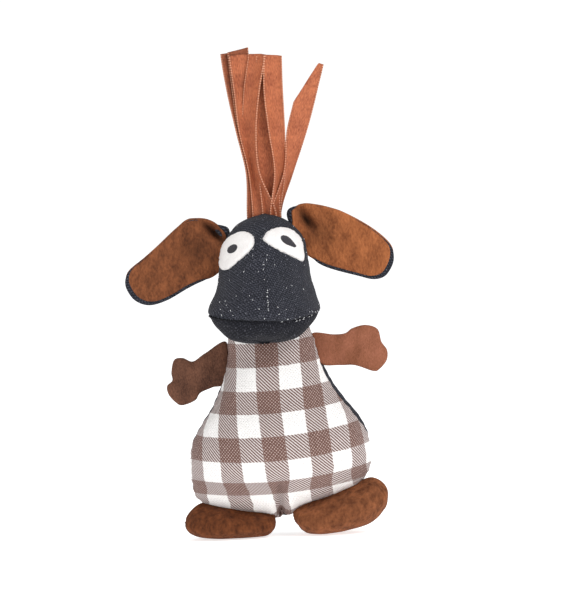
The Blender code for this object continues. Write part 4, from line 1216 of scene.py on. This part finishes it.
class FABRICANIMAL_OT_head(bpy.types.Operator):
    """Build the head's denim panels and the thread ends on them."""

    bl_idname = "fabric_animal.head"
    bl_label = "Head"

    def execute(self, context):
        hues = context.scene.fabric_animal
        denim = {
            "head": dark_denim("head_denim", hues.denim_base, hues.denim_ridge),
            # The chin's denim is a darker copy of the head's, with fewer flecks showing: painted shade under
            # the muzzle.
            "chin": dark_denim("chin_denim_painted_shade", "131318", "26272E", 0.6),
        }
        make_head_pieces(denim, sewing_thread("white_thread_ends", "E6E6EA", "FFFFFF"))
        return {"FINISHED"}


class FABRICANIMAL_OT_eyes(bpy.types.Operator):
    """Build the felt eyes and their stitched pupils."""

    bl_idname = "fabric_animal.eyes"
    bl_label = "Eyes"

    def execute(self, context):
        make_eye_pieces(pressed_felt(), sewing_thread("pupil_thread", "1E1C22", "302D35"))
        return {"FINISHED"}


class FABRICANIMAL_OT_ears(bpy.types.Operator):
    """Build both ears."""

    bl_idname = "fabric_animal.ears"
    bl_label = "Ears"

    def execute(self, context):
        hues = context.scene.fabric_animal
        denim = dark_denim("ear_back_denim", hues.denim_base, hues.denim_ridge, 0.5)
        # The left ear's tones are darker than the right's: partly the pile lying another way, partly painted
        # shade, as the light falls from the right.
        for side, sign, outline, code, dark in (
            ("left", -1, EAR_LEFT_OUTLINE, hues.ear_left, "4A2A1B"),
            ("right", 1, EAR_RIGHT_OUTLINE, hues.ear_right, "6E3D24"),
        ):
            # 24160F is painted shade, laid in each ear's hollow.
            make_ear_pieces(side, sign, outline, napped(f"ear_{side}_velour", code, dark, "24160F"), denim)
        return {"FINISHED"}


class FABRICANIMAL_OT_arms(bpy.types.Operator):
    """Build both suede arms."""

    bl_idname = "fabric_animal.arms"
    bl_label = "Arms"

    def execute(self, context):
        hues = context.scene.fabric_animal
        # The left arm's tones are darker than the right's: partly the pile lying another way, partly painted
        # shade, as the light falls from the right.
        for side, sign, outline, code, dark, patch in (
            ("left", -1, ARM_LEFT_OUTLINE, hues.arm_left, "38241D", 9.0),
            ("right", 1, ARM_RIGHT_OUTLINE, hues.arm_right, "74462F", 6.0),
        ):
            suede = napped(f"arm_{side}_suede", code, dark, nap=0.6, patch=patch)
            make_arm_pieces(side, sign, outline, suede)
        return {"FINISHED"}


class FABRICANIMAL_OT_feet(bpy.types.Operator):
    """Build both velour feet."""

    bl_idname = "fabric_animal.feet"
    bl_label = "Feet"

    def execute(self, context):
        hues = context.scene.fabric_animal
        # The left foot's tones are darker than the right's: partly the pile lying another way, partly painted
        # shade, as the light falls from the right.
        for side, rows, code, dark in (
            ("left", FOOT_LEFT_ROWS, hues.foot_left, "371B0E"),
            ("right", FOOT_RIGHT_ROWS, hues.foot_right, "4A2817"),
        ):
            make_foot_pieces(side, rows, napped(f"foot_{side}_velour", code, dark, nap=1.5, patch=3.5))
        return {"FINISHED"}


class FABRICANIMAL_OT_ribbons(bpy.types.Operator):
    """Build the ribbon tuft and its splayed strand."""

    bl_idname = "fabric_animal.ribbons"
    bl_label = "Ribbons"

    def execute(self, context):
        hues = context.scene.fabric_animal
        lit = satin("lit_satin", hues.ribbon, "86422A")
        # shaded_satin is a darker copy of the satin: painted shade on ribbon_1 and ribbon_2, which stand
        # behind the others.
        shaded = satin("shaded_satin", "9E5636", "66341E")
        for name, spec in RIBBONS.items():
            body = "strand" if name == "ribbon_strand" else "tuft"
            make_ribbon_piece(name, spec, body, shaded if name in ("ribbon_1", "ribbon_2") else lit)
        return {"FINISHED"}


class FABRICANIMAL_OT_stage(bpy.types.Operator):
    """Build the floor, the lights and the camera."""

    bl_idname = "fabric_animal.stage"
    bl_label = "Stage"

    def execute(self, context):
        make_stage(context.scene.fabric_animal.floor)
        return {"FINISHED"}


OPERATORS = (
    FABRICANIMAL_OT_body, FABRICANIMAL_OT_head, FABRICANIMAL_OT_eyes, FABRICANIMAL_OT_ears,
    FABRICANIMAL_OT_arms, FABRICANIMAL_OT_feet, FABRICANIMAL_OT_ribbons, FABRICANIMAL_OT_stage,
)


class FABRICANIMAL_PT_panel(bpy.types.Panel):
    """Sidebar panel with the colours and one button for each group of pieces."""

    bl_idname = "FABRICANIMAL_PT_panel"
    bl_label = "Fabric Animal"
    bl_space_type = "VIEW_3D"
    bl_region_type = "UI"
    bl_category = "Fabric Animal"

    def draw(self, context):
        hues = context.scene.fabric_animal
        for name in hues.bl_rna.properties.keys():
            if name not in ("rna_type", "name"):
                self.layout.prop(hues, name)
        for operator in OPERATORS:
            self.layout.operator(operator.bl_idname)


CLASSES = (FabricAnimalColours, *OPERATORS, FABRICANIMAL_PT_panel)


def register():
    """Add the classes and the scene's settings."""
    for cls in CLASSES:
        bpy.utils.register_class(cls)
    bpy.types.Scene.fabric_animal = PointerProperty(type=FabricAnimalColours)


def unregister():
    """Take them away again."""
    del bpy.types.Scene.fabric_animal
    for cls in reversed(CLASSES):
        bpy.utils.unregister_class(cls)


def main():
    """Register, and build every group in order."""
    register()
    for operator in OPERATORS:
        group, name = operator.bl_idname.split(".")
        getattr(getattr(bpy.ops, group), name)()


if __name__ == "__main__":
    main()
